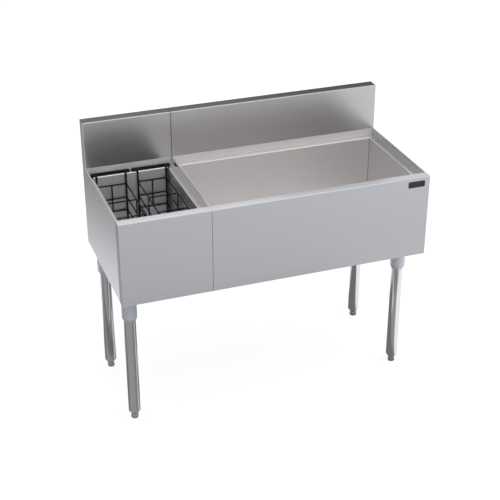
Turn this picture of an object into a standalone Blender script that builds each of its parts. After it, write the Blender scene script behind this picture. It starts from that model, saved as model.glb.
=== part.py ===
"""Underbar station in two modules: a bottle well with two lift-out wire baskets, and an ice bin.

Metres, +Z up. The front faces -Y, and the origin is on the floor under the middle of the part.
"""
import math

import bmesh
import bpy
from mathutils import Matrix, Vector

# Overall sizes of the station
WIDTH = 1.0668
DEPTH = 0.4840
RIM_HEIGHT = 0.7803
SPLASH_RISE = 0.1648
SPLASH_DEPTH = 0.0427
WELL_WIDTH = 0.3035
REAR_SETBACK = 0.0030

# Sheet, clearances and the overrun of every cutter
SHEET = 0.0012
GAP = 0.0003
OVERRUN = 0.0100
FOAM_CLEARANCE = 0.0010
MERGE_DISTANCE = 0.00001

# Fascia, end panels and pans
RIM_DEPTH = 0.0330
RIM_FRONT_BEND = 0.0050
RIM_BACK_BEND = 0.0030
CORNER_BEND = 0.0010
END_HEM = 0.0036
DIVIDER_HEM = 0.0051
PAN_FLANGE = 0.0190
SPLASH_BEND = 0.0025

# Ledge, liners and their mouths
LEDGE_DROP = 0.0254
LINER_DEPTH = 0.2337
FLOOR_SPACE = 0.0330
FRONT_LEDGE = 0.0216
BACK_LEDGE = 0.0224
END_LEDGE = 0.0167
WELL_INNER_LEDGE = 0.0203
BIN_INNER_LEDGE = 0.0236
BIN_END_LEDGE = 0.0218
MOUTH_BEND = 0.0030
FLOOR_BEND = 0.0060
LINER_CORNER = 0.0024

# Drain, from the strainer down to the locknut
DRAIN_FLANGE_RADIUS = 0.0285
DRAIN_FLANGE_THICKNESS = 0.0020
DRAIN_SHANK_RADIUS = 0.0190
DRAIN_BORE_RADIUS = 0.0150
DRAIN_SHANK_LENGTH = 0.0600
STRAINER_RADIUS = 0.0175
STRAINER_THICKNESS = 0.0010
STRAINER_HOLE_RADIUS = 0.0021
STRAINER_RING_SHARE = 0.62
STRAINER_HOLES = 6
GASKET_RADIUS = 0.0270
GASKET_THICKNESS = 0.0025
LOCKNUT_RADIUS = 0.0265
LOCKNUT_HEIGHT = 0.0080
FOAM_HOLE_RADIUS = 0.0300

# Legs: channel, socket, tube, insert and foot
CHANNEL_WIDTH = 0.0560
CHANNEL_HEIGHT = 0.0120
CHANNEL_SHEET = 0.0020
CHANNEL_END_CLEARANCE = 0.0015
LEG_LEFT_INSET = 0.0386
LEG_RIGHT_INSET = 0.0490
LEG_FRONT_LEFT_INSET = 0.0775
LEG_BACK_LEFT_INSET = 0.0705
LEG_FRONT_RIGHT_INSET = 0.0983
LEG_BACK_RIGHT_INSET = 0.0451
SOCKET_LENGTH = 0.0849
SOCKET_RADIUS = 0.0253
SOCKET_TAPER = 0.0089
SOCKET_EDGE = 0.0006
SOCKET_FLANGE_RADIUS = 0.0272
SOCKET_FLANGE_THICKNESS = 0.0035
SOCKET_CROWN = 0.0040
SOCKET_FIT = 0.0004
TUBE_RADIUS = 0.0202
TUBE_WALL = 0.0015
TUBE_BOTTOM = 0.0305
TUBE_END_BEND = 0.0005
SET_SCREW_RADIUS = 0.0040
SET_SCREW_HEIGHT = 0.0180
SET_SCREW_PROUD = 0.0010
INSERT_LENGTH = 0.0300
INSERT_CONE = 0.0100
INSERT_TIP_RADIUS = 0.0127
NECK_RADIUS = 0.0112
COLLAR_TOP = 0.0140
COLLAR_LOW = 0.0035
FOOT_CORNER_RADIUS = 0.0132
FOOT_SOLE_RADIUS = 0.0112
STEM_RADIUS = 0.0063
STEM_LENGTH = 0.0560
FOOT_TURNS = {"front_left": -127.0, "front_right": -113.0, "back_left": -95.0, "back_right": -140.0}

# Wire baskets
BAR_RADIUS = 0.0032
WIRE_RADIUS = 0.0024
UPRIGHT_RADIUS = 0.0022
BASKET_WIDTH = 0.1010
BASKET_FIRST = 0.0815
BASKET_PITCH = 0.1424
BASKET_END_CLEARANCE = 0.0038
FIRST_LEVEL_DROP = 0.0368
BASKET_DROP = 0.1847
LEVEL_SHARES = (0.0, 0.350, 0.665, 1.0)
DIVIDER_SHARES = (0.301, 0.627)
GRID_SHARES = (0.25, 0.5, 0.75)
HANGER_INNER_BEND = 0.0012
HANGER_REACH = 0.0160
HANGER_CLEARANCE = 0.0014

# Nameplate
PLATE_WIDTH = 0.0600
PLATE_HEIGHT = 0.0220
PLATE_THICKNESS = 0.0008
PLATE_CORNER = 0.0040
PLATE_SIDE_INSET = 0.0480
PLATE_RIM_DROP = 0.0240

# Facets
ROUND_SIDES = 16
TUBE_SIDES = 24
BAR_SIDES = 8
WIRE_SIDES = 6
BEND_STEPS = 3
WIRE_BEND_STEPS = 2
CORNER_STEPS = 3
HEX_SIDES = 6

# Planes worked out from the sizes
LEFT = -WIDTH / 2
RIGHT = WIDTH / 2
SEAM = LEFT + WELL_WIDTH
PLATE_PROUD = GAP + PLATE_THICKNESS
FACE = -(DEPTH + PLATE_PROUD) / 2 + PLATE_PROUD
SPLASH_BACK = FACE + DEPTH
SPLASH_FACE = SPLASH_BACK - SPLASH_DEPTH
REAR = SPLASH_BACK - REAR_SETBACK
RIM_BACK = FACE + RIM_DEPTH
BODY_HEIGHT = LEDGE_DROP + LINER_DEPTH + FLOOR_SPACE
BODY_BOTTOM = RIM_HEIGHT - BODY_HEIGHT
LEDGE = RIM_HEIGHT - LEDGE_DROP
FLOOR = LEDGE - LINER_DEPTH
SPLASH_TOP = RIM_HEIGHT + SPLASH_RISE
PAN_BOTTOM = BODY_BOTTOM + SHEET + GAP
CHANNEL_TOP = PAN_BOTTOM - GAP
SOCKET_TOP = CHANNEL_TOP - CHANNEL_HEIGHT - GAP
SOCKET_BOTTOM = SOCKET_TOP - SOCKET_LENGTH
MOUTH_FRONT = RIM_BACK + FRONT_LEDGE
MOUTH_BACK = SPLASH_FACE - BACK_LEDGE
DIVIDER_LOW = SEAM - DIVIDER_HEM / 2
DIVIDER_HIGH = SEAM + DIVIDER_HEM / 2

# The two modules along X: outer ends, the space between the upright sheets, hems and ledges
WELL = {
    "name": "well",
    "low": LEFT,
    "high": SEAM - GAP / 2,
    "inside_low": LEFT + SHEET + GAP,
    "inside_high": DIVIDER_LOW - GAP,
    "rim_low": LEFT + END_HEM,
    "rim_high": DIVIDER_LOW,
    "low_ledge": END_LEDGE,
    "high_ledge": WELL_INNER_LEDGE,
}
BIN = {
    "name": "bin",
    "low": SEAM + GAP / 2,
    "high": RIGHT,
    "inside_low": SEAM + GAP / 2 + SHEET + GAP,
    "inside_high": RIGHT - SHEET - GAP,
    "rim_low": DIVIDER_HIGH,
    "rim_high": RIGHT - END_HEM,
    "low_ledge": BIN_INNER_LEDGE,
    "high_ledge": BIN_END_LEDGE,
}

STEEL = (0.62, 0.63, 0.65)
DARK_STEEL = (0.45, 0.46, 0.48)
SATIN_GREY = (0.50, 0.52, 0.56)
GALVANISED = (0.70, 0.71, 0.73)
BLACK_COAT = (0.02, 0.021, 0.022)
FOAM_CREAM = (0.80, 0.72, 0.48)
RUBBER_BLACK = (0.03, 0.03, 0.03)
BRASS_PLATED = (0.66, 0.65, 0.62)


def clear_scene():
    for item in list(bpy.data.objects):
        bpy.data.objects.remove(item, do_unlink=True)


def add_object(name, shape, material=None, origin=(0, 0, 0), parent=None):
    """Make an object from a bmesh in world places, with its own origin at the given point."""
    bmesh.ops.recalc_face_normals(shape, faces=shape.faces)
    mesh = bpy.data.meshes.new(name)
    shape.to_mesh(mesh)
    shape.free()
    place = Vector(origin)
    mesh.transform(Matrix.Translation(-place))
    item = bpy.data.objects.new(name, mesh)
    item.location = place - parent.location if parent else place
    item.parent = parent
    bpy.context.scene.collection.objects.link(item)
    if material:
        paint(item, *material)
    return item


def paint(item, colour, roughness, metallic):
    """Give the object a Principled material of its own."""
    material = bpy.data.materials.new(item.name)
    material.use_nodes = True
    shader = material.node_tree.nodes["Principled BSDF"]
    shader.inputs["Base Color"].default_value = (*colour, 1.0)
    shader.inputs["Roughness"].default_value = roughness
    shader.inputs["Metallic"].default_value = metallic
    item.data.materials.append(material)


def smooth(item, angle=35.0):
    """Shade the round faces smooth and keep the sharp edges."""
    item.data.shade_smooth()
    item.data.set_sharp_from_angle(angle=math.radians(angle))


def as_cutter(item):
    item.hide_render = True
    item.display_type = "WIRE"
    return item


def cut(item, cutter):
    """Take the cutter's volume away from the item."""
    as_cutter(cutter)
    step = item.modifiers.new("cut", "BOOLEAN")
    step.operation = "DIFFERENCE"
    step.object = cutter
    step.solver = "EXACT"


def join(item, others):
    """Fuse the other solids into the item as one piece."""
    group = bpy.data.collections.new(item.name + "_parts")
    for other in others:
        as_cutter(other)
        group.objects.link(other)
    step = item.modifiers.new("join", "BOOLEAN")
    step.operation = "UNION"
    step.operand_type = "COLLECTION"
    step.collection = group
    step.solver = "EXACT"


def arc(centre_u, centre_v, radius, start, end, steps=BEND_STEPS):
    """Points on an arc in a flat outline, from one angle in degrees to the other."""
    points = []
    for step in range(steps + 1):
        angle = math.radians(start + (end - start) * step / steps)
        points.append((centre_u + radius * math.cos(angle), centre_v + radius * math.sin(angle)))
    return points


def prism_shape(outline, axis, low, high):
    """A closed outline extruded along an axis. The outline is in the other two axes, in XYZ order."""
    slot = "XYZ".index(axis)
    shape = bmesh.new()
    corners = []
    for pair in outline:
        place = list(pair)
        place.insert(slot, low)
        corners.append(shape.verts.new(place))
    base = shape.faces.new(corners)
    pushed = bmesh.ops.extrude_face_region(shape, geom=[base])["geom"]
    ends = [item for item in pushed if isinstance(item, bmesh.types.BMVert)]
    move = Vector((0, 0, 0))
    move[slot] = high - low
    bmesh.ops.translate(shape, vec=move, verts=ends)
    return shape


def prism(name, outline, axis, low, high, material=None, origin=(0, 0, 0), parent=None):
    return add_object(name, prism_shape(outline, axis, low, high), material, origin, parent)


def box(name, low, high, material=None):
    outline = [(low[0], low[1]), (high[0], low[1]), (high[0], high[1]), (low[0], high[1])]
    return prism(name, outline, "Z", low[2], high[2], material)


def turned(name, profile, centre, material=None, sides=ROUND_SIDES, turn=0.0, parent=None):
    """A profile of (radius, height) pairs spun about an upright axis at the centre."""
    shape = bmesh.new()
    points = [shape.verts.new((centre[0] + radius, centre[1], height)) for radius, height in profile]
    ends = list(zip(points, points[1:]))
    if profile[0][0] > 0:
        ends.append((points[-1], points[0]))
    edges = [shape.edges.new(pair) for pair in ends]
    middle = (centre[0], centre[1], 0)
    bmesh.ops.spin(shape, geom=points + edges, cent=middle, axis=(0, 0, 1), angle=2 * math.pi,
                   steps=sides, use_merge=True)
    bmesh.ops.remove_doubles(shape, verts=shape.verts, dist=MERGE_DISTANCE)
    spun = Matrix.Rotation(math.radians(turn), 3, "Z")
    bmesh.ops.rotate(shape, cent=middle, matrix=spun, verts=shape.verts)
    item = add_object(name, shape, material, (centre[0], centre[1], profile[0][1]), parent)
    smooth(item)
    return item


def rod_shape(start, end, radius, sides=ROUND_SIDES):
    """A straight round bar between two points."""
    return sweep_shape([Vector(start), Vector(end)], radius, sides)


def sweep_shape(points, radius, sides):
    """A round bar along a path, with mitred rings that don't twist."""
    shape = bmesh.new()
    directions = [(after - before).normalized() for before, after in zip(points, points[1:])]
    side_way = directions[0].orthogonal().normalized()
    rings = []
    for index, point in enumerate(points):
        before = directions[max(index - 1, 0)]
        after = directions[min(index, len(directions) - 1)]
        heading = (before + after).normalized()
        side_way = (side_way - side_way.dot(heading) * heading).normalized()
        up_way = heading.cross(side_way)
        stretch = 1 / max(heading.dot(after), 0.5)
        mitre_way = after - before
        ring = []
        for side in range(sides):
            angle = 2 * math.pi * (side + 0.5) / sides
            offset = radius * (math.cos(angle) * side_way + math.sin(angle) * up_way)
            if mitre_way.length > 0 and stretch > 1:
                across = mitre_way.normalized()
                offset += offset.dot(across) * (stretch - 1) * across
            ring.append(shape.verts.new(point + offset))
        rings.append(ring)
    for lower, upper in zip(rings, rings[1:]):
        for side in range(sides):
            after_side = (side + 1) % sides
            shape.faces.new((lower[side], lower[after_side], upper[after_side], upper[side]))
    shape.faces.new(rings[0])
    shape.faces.new(rings[-1])
    return shape


def bent_path(corners, bends, steps):
    """A path through corner points, with each inner corner rounded by its bend radius."""
    path = [Vector(corners[0])]
    for index in range(1, len(corners) - 1):
        corner = Vector(corners[index])
        back = (Vector(corners[index - 1]) - corner).normalized()
        ahead = (Vector(corners[index + 1]) - corner).normalized()
        half = back.angle(ahead) / 2
        radius = bends[index - 1]
        centre = corner + (back + ahead).normalized() * radius / math.sin(half)
        first = (corner + back * radius / math.tan(half) - centre).normalized()
        last = (corner + ahead * radius / math.tan(half) - centre).normalized()
        for step in range(steps + 1):
            point = centre + radius * first.slerp(last, step / steps)
            if (point - path[-1]).length > GAP:
                path.append(point)
    path.append(Vector(corners[-1]))
    return path


def rounded_rectangle(low_x, high_x, low_y, high_y, radius):
    """Points round a rectangle with round corners, always as many."""
    points = arc(high_x - radius, high_y - radius, radius, 0, 90, CORNER_STEPS)
    points += arc(low_x + radius, high_y - radius, radius, 90, 180, CORNER_STEPS)
    points += arc(low_x + radius, low_y + radius, radius, 180, 270, CORNER_STEPS)
    points += arc(high_x - radius, low_y + radius, radius, 270, 360, CORNER_STEPS)
    return points


def fascia_outline():
    """The fascia seen from its end: face, bottom, back of the rim and the two rim bends."""
    points = [(FACE, BODY_BOTTOM), (RIM_BACK, BODY_BOTTOM)]
    points += arc(RIM_BACK - RIM_BACK_BEND, RIM_HEIGHT - RIM_BACK_BEND, RIM_BACK_BEND, 0, 90)
    points += arc(FACE + RIM_FRONT_BEND, RIM_HEIGHT - RIM_FRONT_BEND, RIM_FRONT_BEND, 90, 180)
    return points


def fascia_void_outline():
    """The space inside the folded sheet, open at the back between the lip and the bottom flange."""
    lip_bottom = LEDGE + GAP
    past = RIM_BACK + OVERRUN
    points = [(FACE + SHEET, BODY_BOTTOM + SHEET), (past, BODY_BOTTOM + SHEET)]
    points += [(past, lip_bottom), (RIM_BACK - SHEET, lip_bottom)]
    points += arc(RIM_BACK - RIM_BACK_BEND, RIM_HEIGHT - RIM_BACK_BEND, RIM_BACK_BEND - SHEET, 0, 90)
    points += arc(FACE + RIM_FRONT_BEND, RIM_HEIGHT - RIM_FRONT_BEND, RIM_FRONT_BEND - SHEET, 90, 180)
    return points


def make_fascia(name, module):
    """Front sheet with the rim folded back on top, a lip down to the ledge and a return at each end."""
    low, high = module["low"], module["high"]
    shape = prism_shape(fascia_outline(), "X", low, high)
    corners = [edge for edge in shape.edges if is_front_corner(edge)]
    bmesh.ops.bevel(shape, geom=corners, offset=CORNER_BEND, segments=2, profile=0.5, affect="EDGES")
    fascia = add_object(name, shape, (STEEL, 0.32, 1.0), (low, FACE, BODY_BOTTOM))
    cut(fascia, prism(name + "_void", fascia_void_outline(), "X", low + SHEET, high - SHEET))
    smooth(fascia)


def is_front_corner(edge):
    """True for the upright edges where the fascia's face turns back at its ends."""
    first, second = edge.verts
    upright = abs(first.co.z - second.co.z) > BODY_HEIGHT / 2
    return upright and abs(first.co.y - FACE) < GAP and abs(first.co.x - second.co.x) < GAP


def make_end_panel(name, outer_x, inward, hem):
    """Upright end sheet whose top edge is hemmed inward down to the ledge."""
    inner_x = outer_x + inward * SHEET
    hem_x = outer_x + inward * hem
    top = arc(outer_x + inward * hem / 2, RIM_HEIGHT - hem / 2, hem / 2, 0, 180)
    if inward < 0:
        top.reverse()
    outline = [(outer_x, BODY_BOTTOM), (inner_x, BODY_BOTTOM), (inner_x, LEDGE + GAP), (hem_x, LEDGE + GAP)]
    outline += top
    low_y, high_y = RIM_BACK + GAP, REAR - SHEET - GAP
    material = (GALVANISED, 0.38, 0.9)
    panel = prism(name, outline, "Y", low_y, high_y, material, (outer_x, low_y, BODY_BOTTOM))
    smooth(panel)


def make_splash(name, module):
    """Boxed upstand at the back, with a skirt down its face to the ledge, between the hems."""
    low, high = module["low"], module["high"]
    bottom = LEDGE + GAP
    seat = RIM_HEIGHT + GAP
    shape = prism_shape(
        [(low, SPLASH_FACE), (high, SPLASH_FACE), (high, SPLASH_BACK), (low, SPLASH_BACK)],
        "Z", bottom, SPLASH_TOP)
    outer = [edge for edge in shape.edges if is_splash_edge(edge)]
    bmesh.ops.bevel(shape, geom=outer, offset=SPLASH_BEND, segments=2, profile=0.5, affect="EDGES")
    splash = add_object(name, shape, (STEEL, 0.24, 1.0), (low, SPLASH_FACE, bottom))
    inside_low = (low + SHEET, SPLASH_FACE + SHEET, bottom - OVERRUN)
    inside_high = (high - SHEET, SPLASH_BACK - SHEET, SPLASH_TOP - SHEET)
    cut(splash, box(name + "_inside", inside_low, inside_high))
    under_low = (low - OVERRUN, SPLASH_FACE + SHEET, bottom - OVERRUN)
    under_high = (high + OVERRUN, SPLASH_BACK + OVERRUN, seat)
    cut(splash, box(name + "_under", under_low, under_high))
    skirt_low = module["rim_low"] + GAP
    skirt_high = module["rim_high"] - GAP
    front, back = SPLASH_FACE - OVERRUN, SPLASH_BACK + OVERRUN
    cut(splash, box(name + "_low_end", (low - OVERRUN, front, bottom - OVERRUN), (skirt_low, back, seat)))
    cut(splash, box(name + "_high_end", (skirt_high, front, bottom - OVERRUN), (high + OVERRUN, back, seat)))
    smooth(splash)


def is_splash_edge(edge):
    """True for the splash's four top edges and four upright edges."""
    first, second = edge.verts
    at_top = abs(first.co.z - SPLASH_TOP) < GAP and abs(second.co.z - SPLASH_TOP) < GAP
    upright = abs(first.co.z - second.co.z) > SPLASH_RISE / 2
    return at_top or upright


def make_rear_panel(name, module):
    """Flat back sheet, from the bottom of the body to the rim."""
    low = (module["low"], REAR - SHEET, BODY_BOTTOM)
    high = (module["high"], REAR, RIM_HEIGHT)
    box(name, low, high, (GALVANISED, 0.42, 0.9))


def pan_limits(module):
    """Outer corners in plan of a pan: inside the fascia, the upright sheets and the rear panel."""
    clear = SHEET + GAP
    return module["inside_low"], module["inside_high"], FACE + clear, REAR - clear


def make_pan(name, module):
    """Bottom tray with its edges turned up inside the body, and a hole for the drain."""
    low_x, high_x, low_y, high_y = pan_limits(module)
    top = PAN_BOTTOM + PAN_FLANGE
    pan = box(name, (low_x, low_y, PAN_BOTTOM), (high_x, high_y, top), (GALVANISED, 0.45, 0.9))
    inside_low = (low_x + SHEET, low_y + SHEET, PAN_BOTTOM + SHEET)
    inside_high = (high_x - SHEET, high_y - SHEET, top + OVERRUN)
    cut(pan, box(name + "_inside", inside_low, inside_high))
    cut(pan, upright_cutter(name + "_hole", drain_centre(module), DRAIN_SHANK_RADIUS + FOAM_CLEARANCE,
                            PAN_BOTTOM - OVERRUN, PAN_BOTTOM + SHEET + OVERRUN))


def upright_cutter(name, centre, radius, low, high):
    return turned(name, [(0, low), (radius, low), (radius, high), (0, high)], centre)


def mouth(module):
    """The liner's opening in plan."""
    low = module["rim_low"] + module["low_ledge"]
    high = module["rim_high"] - module["high_ledge"]
    return low, high, MOUTH_FRONT, MOUTH_BACK


def drain_centre(module):
    """The middle of the liner's floor."""
    low_x, high_x, low_y, high_y = mouth(module)
    return (low_x + high_x) / 2, (low_y + high_y) / 2


def make_foam(name, module):
    """Foam block round the liner, on the pan, with a pocket for the tub and a shaft for the drain."""
    low_x, high_x, low_y, high_y = pan_limits(module)
    clear = SHEET + GAP
    low = (low_x + clear, low_y + clear, PAN_BOTTOM + clear)
    high = (high_x - clear, high_y - clear, LEDGE - SHEET - FOAM_CLEARANCE)
    foam = box(name, low, high, (FOAM_CREAM, 0.9, 0.0))
    room = SHEET + FOAM_CLEARANCE
    low_mouth_x, high_mouth_x, low_mouth_y, high_mouth_y = mouth(module)
    pocket_low = (low_mouth_x - room, low_mouth_y - room, FLOOR - SHEET - GAP)
    pocket_high = (high_mouth_x + room, high_mouth_y + room, LEDGE + OVERRUN)
    cut(foam, box(name + "_pocket", pocket_low, pocket_high))
    cut(foam, upright_cutter(name + "_shaft", drain_centre(module), FOAM_HOLE_RADIUS,
                             PAN_BOTTOM - OVERRUN, FLOOR + OVERRUN))


def make_liner(name, module):
    """Pressed tub: ledge round the mouth, bend, walls, bend and floor, one sheet thick."""
    mouth_low_x, mouth_high_x, mouth_low_y, mouth_high_y = mouth(module)
    flange = (module["inside_low"], module["inside_high"], RIM_BACK - SHEET, SPLASH_FACE + SHEET)

    def mouth_loop(outset, height):
        low_x, high_x = mouth_low_x - outset, mouth_high_x + outset
        low_y, high_y = mouth_low_y - outset, mouth_high_y + outset
        radius = max(LINER_CORNER + outset, CORNER_BEND)
        return [(x, y, height) for x, y in rounded_rectangle(low_x, high_x, low_y, high_y, radius)]

    def flange_loop(height):
        return [(x, y, height) for x, y in rounded_rectangle(*flange, CORNER_BEND)]

    def floor_bend(radius):
        """Loops up the bend between floor and wall."""
        loops = []
        for across, up in arc(-FLOOR_BEND, FLOOR + FLOOR_BEND, radius, -90, 0):
            loops.append(mouth_loop(across, up))
        return loops

    def mouth_bend(radius):
        """Loops over the bend between wall and ledge."""
        loops = []
        for across, up in arc(MOUTH_BEND, LEDGE - MOUTH_BEND, radius, 180, 90):
            loops.append(mouth_loop(across, up))
        return loops

    inner_skin = floor_bend(FLOOR_BEND) + mouth_bend(MOUTH_BEND) + [flange_loop(LEDGE)]
    outer_skin = floor_bend(FLOOR_BEND + SHEET) + mouth_bend(MOUTH_BEND - SHEET)
    outer_skin += [flange_loop(LEDGE - SHEET)]
    loops = inner_skin + outer_skin[::-1]
    liner = add_object(name, loft_shape(loops), (STEEL, 0.22, 1.0),
                       (mouth_low_x, mouth_low_y, LEDGE))
    cut(liner, upright_cutter(name + "_hole", drain_centre(module), DRAIN_SHANK_RADIUS + GAP,
                              FLOOR - SHEET - OVERRUN, FLOOR + OVERRUN))
    smooth(liner)


def loft_shape(loops):
    """A closed shape through loops of as many points each, capped at both ends."""
    shape = bmesh.new()
    rings = [[shape.verts.new(point) for point in loop] for loop in loops]
    count = len(loops[0])
    for lower, upper in zip(rings, rings[1:]):
        for index in range(count):
            after = (index + 1) % count
            shape.faces.new((lower[index], lower[after], upper[after], upper[index]))
    shape.faces.new(rings[0])
    shape.faces.new(rings[-1])
    return shape


def make_drain(module):
    """Drain in the floor of a liner: body, gasket, locknut and strainer."""
    prefix = module["name"] + "_drain"
    centre = drain_centre(module)
    flange_low = FLOOR + GAP
    flange_top = flange_low + DRAIN_FLANGE_THICKNESS
    shank_low = flange_low - DRAIN_SHANK_LENGTH
    seat = flange_top - STRAINER_THICKNESS - GAP
    body = [(DRAIN_BORE_RADIUS, shank_low), (DRAIN_SHANK_RADIUS, shank_low),
            (DRAIN_SHANK_RADIUS, flange_low), (DRAIN_FLANGE_RADIUS, flange_low),
            (DRAIN_FLANGE_RADIUS - DRAIN_FLANGE_THICKNESS, flange_top),
            (STRAINER_RADIUS + GAP, flange_top), (STRAINER_RADIUS + GAP, seat),
            (DRAIN_BORE_RADIUS, seat)]
    turned(prefix + "_body", body, centre, (BRASS_PLATED, 0.25, 1.0))
    gasket_top = FLOOR - SHEET - GAP
    gasket_low = gasket_top - GASKET_THICKNESS
    around = DRAIN_SHANK_RADIUS + GAP
    gasket = [(around, gasket_low), (GASKET_RADIUS, gasket_low), (GASKET_RADIUS, gasket_top),
              (around, gasket_top)]
    turned(prefix + "_gasket", gasket, centre, (RUBBER_BLACK, 0.8, 0.0))
    nut_top = gasket_low - GAP
    nut_low = nut_top - LOCKNUT_HEIGHT
    nut = turned(prefix + "_locknut", [(0, nut_low), (LOCKNUT_RADIUS, nut_low), (LOCKNUT_RADIUS, nut_top),
                                       (0, nut_top)], centre, (BRASS_PLATED, 0.3, 1.0), HEX_SIDES)
    cut(nut, upright_cutter(prefix + "_nut_bore", centre, around, nut_low - OVERRUN, nut_top + OVERRUN))
    make_strainer(prefix + "_strainer", centre, seat + GAP)


def merged(shapes):
    """One bmesh that holds several separate closed shapes."""
    whole = bmesh.new()
    for shape in shapes:
        mesh = bpy.data.meshes.new("loose")
        shape.to_mesh(mesh)
        shape.free()
        whole.from_mesh(mesh)
        bpy.data.meshes.remove(mesh)
    return whole


def make_strainer(name, centre, low):
    """Lift-out disc with one hole in the middle and a ring of holes."""
    high = low + STRAINER_THICKNESS
    profile = [(0, low), (STRAINER_RADIUS, low), (STRAINER_RADIUS, high), (0, high)]
    disc = turned(name, profile, centre, (STEEL, 0.3, 1.0))
    places = [centre]
    ring = STRAINER_RADIUS * STRAINER_RING_SHARE
    for index in range(STRAINER_HOLES):
        angle = 2 * math.pi * index / STRAINER_HOLES
        places.append((centre[0] + ring * math.cos(angle), centre[1] + ring * math.sin(angle)))
    holes = []
    for x, y in places:
        start, end = (x, y, low - OVERRUN), (x, y, high + OVERRUN)
        holes.append(rod_shape(start, end, STRAINER_HOLE_RADIUS, WIRE_SIDES))
    cut(disc, add_object(name + "_holes", merged(holes)))


def leg_places():
    """Plan place of each leg."""
    left, right = LEFT + LEG_LEFT_INSET, RIGHT - LEG_RIGHT_INSET
    return {
        "front_left": (left, FACE + LEG_FRONT_LEFT_INSET),
        "back_left": (left, SPLASH_BACK - LEG_BACK_LEFT_INSET),
        "front_right": (right, FACE + LEG_FRONT_RIGHT_INSET),
        "back_right": (right, SPLASH_BACK - LEG_BACK_RIGHT_INSET),
    }


def make_channel(name, centre_x):
    """Channel under a pan, open upward, which two leg sockets stand on."""
    low_x, high_x = centre_x - CHANNEL_WIDTH / 2, centre_x + CHANNEL_WIDTH / 2
    low_z = CHANNEL_TOP - CHANNEL_HEIGHT
    floor_z = low_z + CHANNEL_SHEET
    outline = [(low_x, low_z), (high_x, low_z), (high_x, CHANNEL_TOP), (high_x - CHANNEL_SHEET, CHANNEL_TOP),
               (high_x - CHANNEL_SHEET, floor_z), (low_x + CHANNEL_SHEET, floor_z),
               (low_x + CHANNEL_SHEET, CHANNEL_TOP), (low_x, CHANNEL_TOP)]
    low_y = RIM_BACK + CHANNEL_END_CLEARANCE
    high_y = REAR - SHEET - CHANNEL_END_CLEARANCE
    prism(name, outline, "Y", low_y, high_y, (GALVANISED, 0.45, 0.9), (centre_x, low_y, low_z))


def make_leg(corner, centre):
    """One leg: socket, tube, threaded insert and the foot that screws into it."""
    bore = TUBE_RADIUS + SOCKET_FIT
    bore_top = SOCKET_TOP - SOCKET_CROWN
    flange_low = SOCKET_TOP - SOCKET_FLANGE_THICKNESS
    socket_profile = [(0, bore_top), (bore, bore_top), (bore, SOCKET_BOTTOM),
                      (bore + SOCKET_EDGE, SOCKET_BOTTOM),
                      (SOCKET_RADIUS, SOCKET_BOTTOM + SOCKET_TAPER), (SOCKET_RADIUS, flange_low),
                      (SOCKET_FLANGE_RADIUS, flange_low), (SOCKET_FLANGE_RADIUS, SOCKET_TOP),
                      (0, SOCKET_TOP)]
    socket = turned("leg_socket_" + corner, socket_profile, centre, (SATIN_GREY, 0.45, 0.9), TUBE_SIDES)
    start, end = set_screw_ends(centre)
    hole = rod_shape(start, end + (end - start), SET_SCREW_RADIUS + GAP, BAR_SIDES)
    cut(socket, add_object("socket_hole_" + corner, hole))
    screw = rod_shape(start, end, SET_SCREW_RADIUS, BAR_SIDES)
    add_object("set_screw_" + corner, screw, (DARK_STEEL, 0.35, 0.9), start)

    tube_top = bore_top - GAP
    inner = TUBE_RADIUS - TUBE_WALL
    tube_profile = [(inner, TUBE_BOTTOM), (TUBE_RADIUS - TUBE_END_BEND, TUBE_BOTTOM),
                    (TUBE_RADIUS, TUBE_BOTTOM + TUBE_END_BEND), (TUBE_RADIUS, tube_top), (inner, tube_top)]
    turned("leg_tube_" + corner, tube_profile, centre, (STEEL, 0.15, 1.0), TUBE_SIDES)

    cone_top = TUBE_BOTTOM - GAP
    cone_low = cone_top - INSERT_CONE
    thread = STEM_RADIUS + GAP
    insert_profile = [(thread, cone_low), (INSERT_TIP_RADIUS, cone_low),
                      (TUBE_RADIUS - TUBE_END_BEND, cone_top), (inner - GAP, cone_top),
                      (inner - GAP, cone_top + INSERT_LENGTH), (thread, cone_top + INSERT_LENGTH)]
    turned("foot_insert_" + corner, insert_profile, centre, (DARK_STEEL, 0.4, 0.9))
    make_foot(corner, centre, cone_low - GAP)


def make_foot(corner, centre, shoulder):
    """Hexagon foot with a round neck and a threaded stem, on its own axis so that it screws down."""
    axis = bpy.data.objects.new("foot_axis_" + corner, None)
    axis.location = (centre[0], centre[1], 0)
    bpy.context.scene.collection.objects.link(axis)
    profile = [(0, 0), (FOOT_SOLE_RADIUS, 0), (FOOT_CORNER_RADIUS, COLLAR_LOW),
               (FOOT_CORNER_RADIUS, COLLAR_TOP), (0, COLLAR_TOP)]
    foot = turned("foot_" + corner, profile, centre, (DARK_STEEL, 0.35, 0.9), HEX_SIDES,
                  FOOT_TURNS[corner], axis)
    low, high = COLLAR_LOW, shoulder + STEM_LENGTH
    stem_profile = [(0, low), (NECK_RADIUS, low), (NECK_RADIUS, shoulder), (STEM_RADIUS, shoulder),
                    (STEM_RADIUS, high), (0, high)]
    stem = turned("foot_stem_" + corner, stem_profile, centre, parent=axis)
    join(foot, [stem])


def set_screw_ends(centre):
    """The ends of a set screw, from just off the tube to just past the socket, at the back."""
    height = SOCKET_BOTTOM + SET_SCREW_HEIGHT
    start = Vector((centre[0], centre[1] + TUBE_RADIUS + GAP, height))
    end = Vector((centre[0], centre[1] + SOCKET_RADIUS + SET_SCREW_PROUD, height))
    return start, end


def wire(name, points, radius, frame, bends=None):
    """A round wire in a basket, along straight runs or through rounded corners."""
    path = bent_path(points, bends, WIRE_BEND_STEPS) if bends else [Vector(point) for point in points]
    shape = sweep_shape(path, radius, BAR_SIDES if bends else WIRE_SIDES)
    item = add_object(name, shape, (BLACK_COAT, 0.35, 0.0), frame.location, frame)
    smooth(item, 50.0)
    return item


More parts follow.
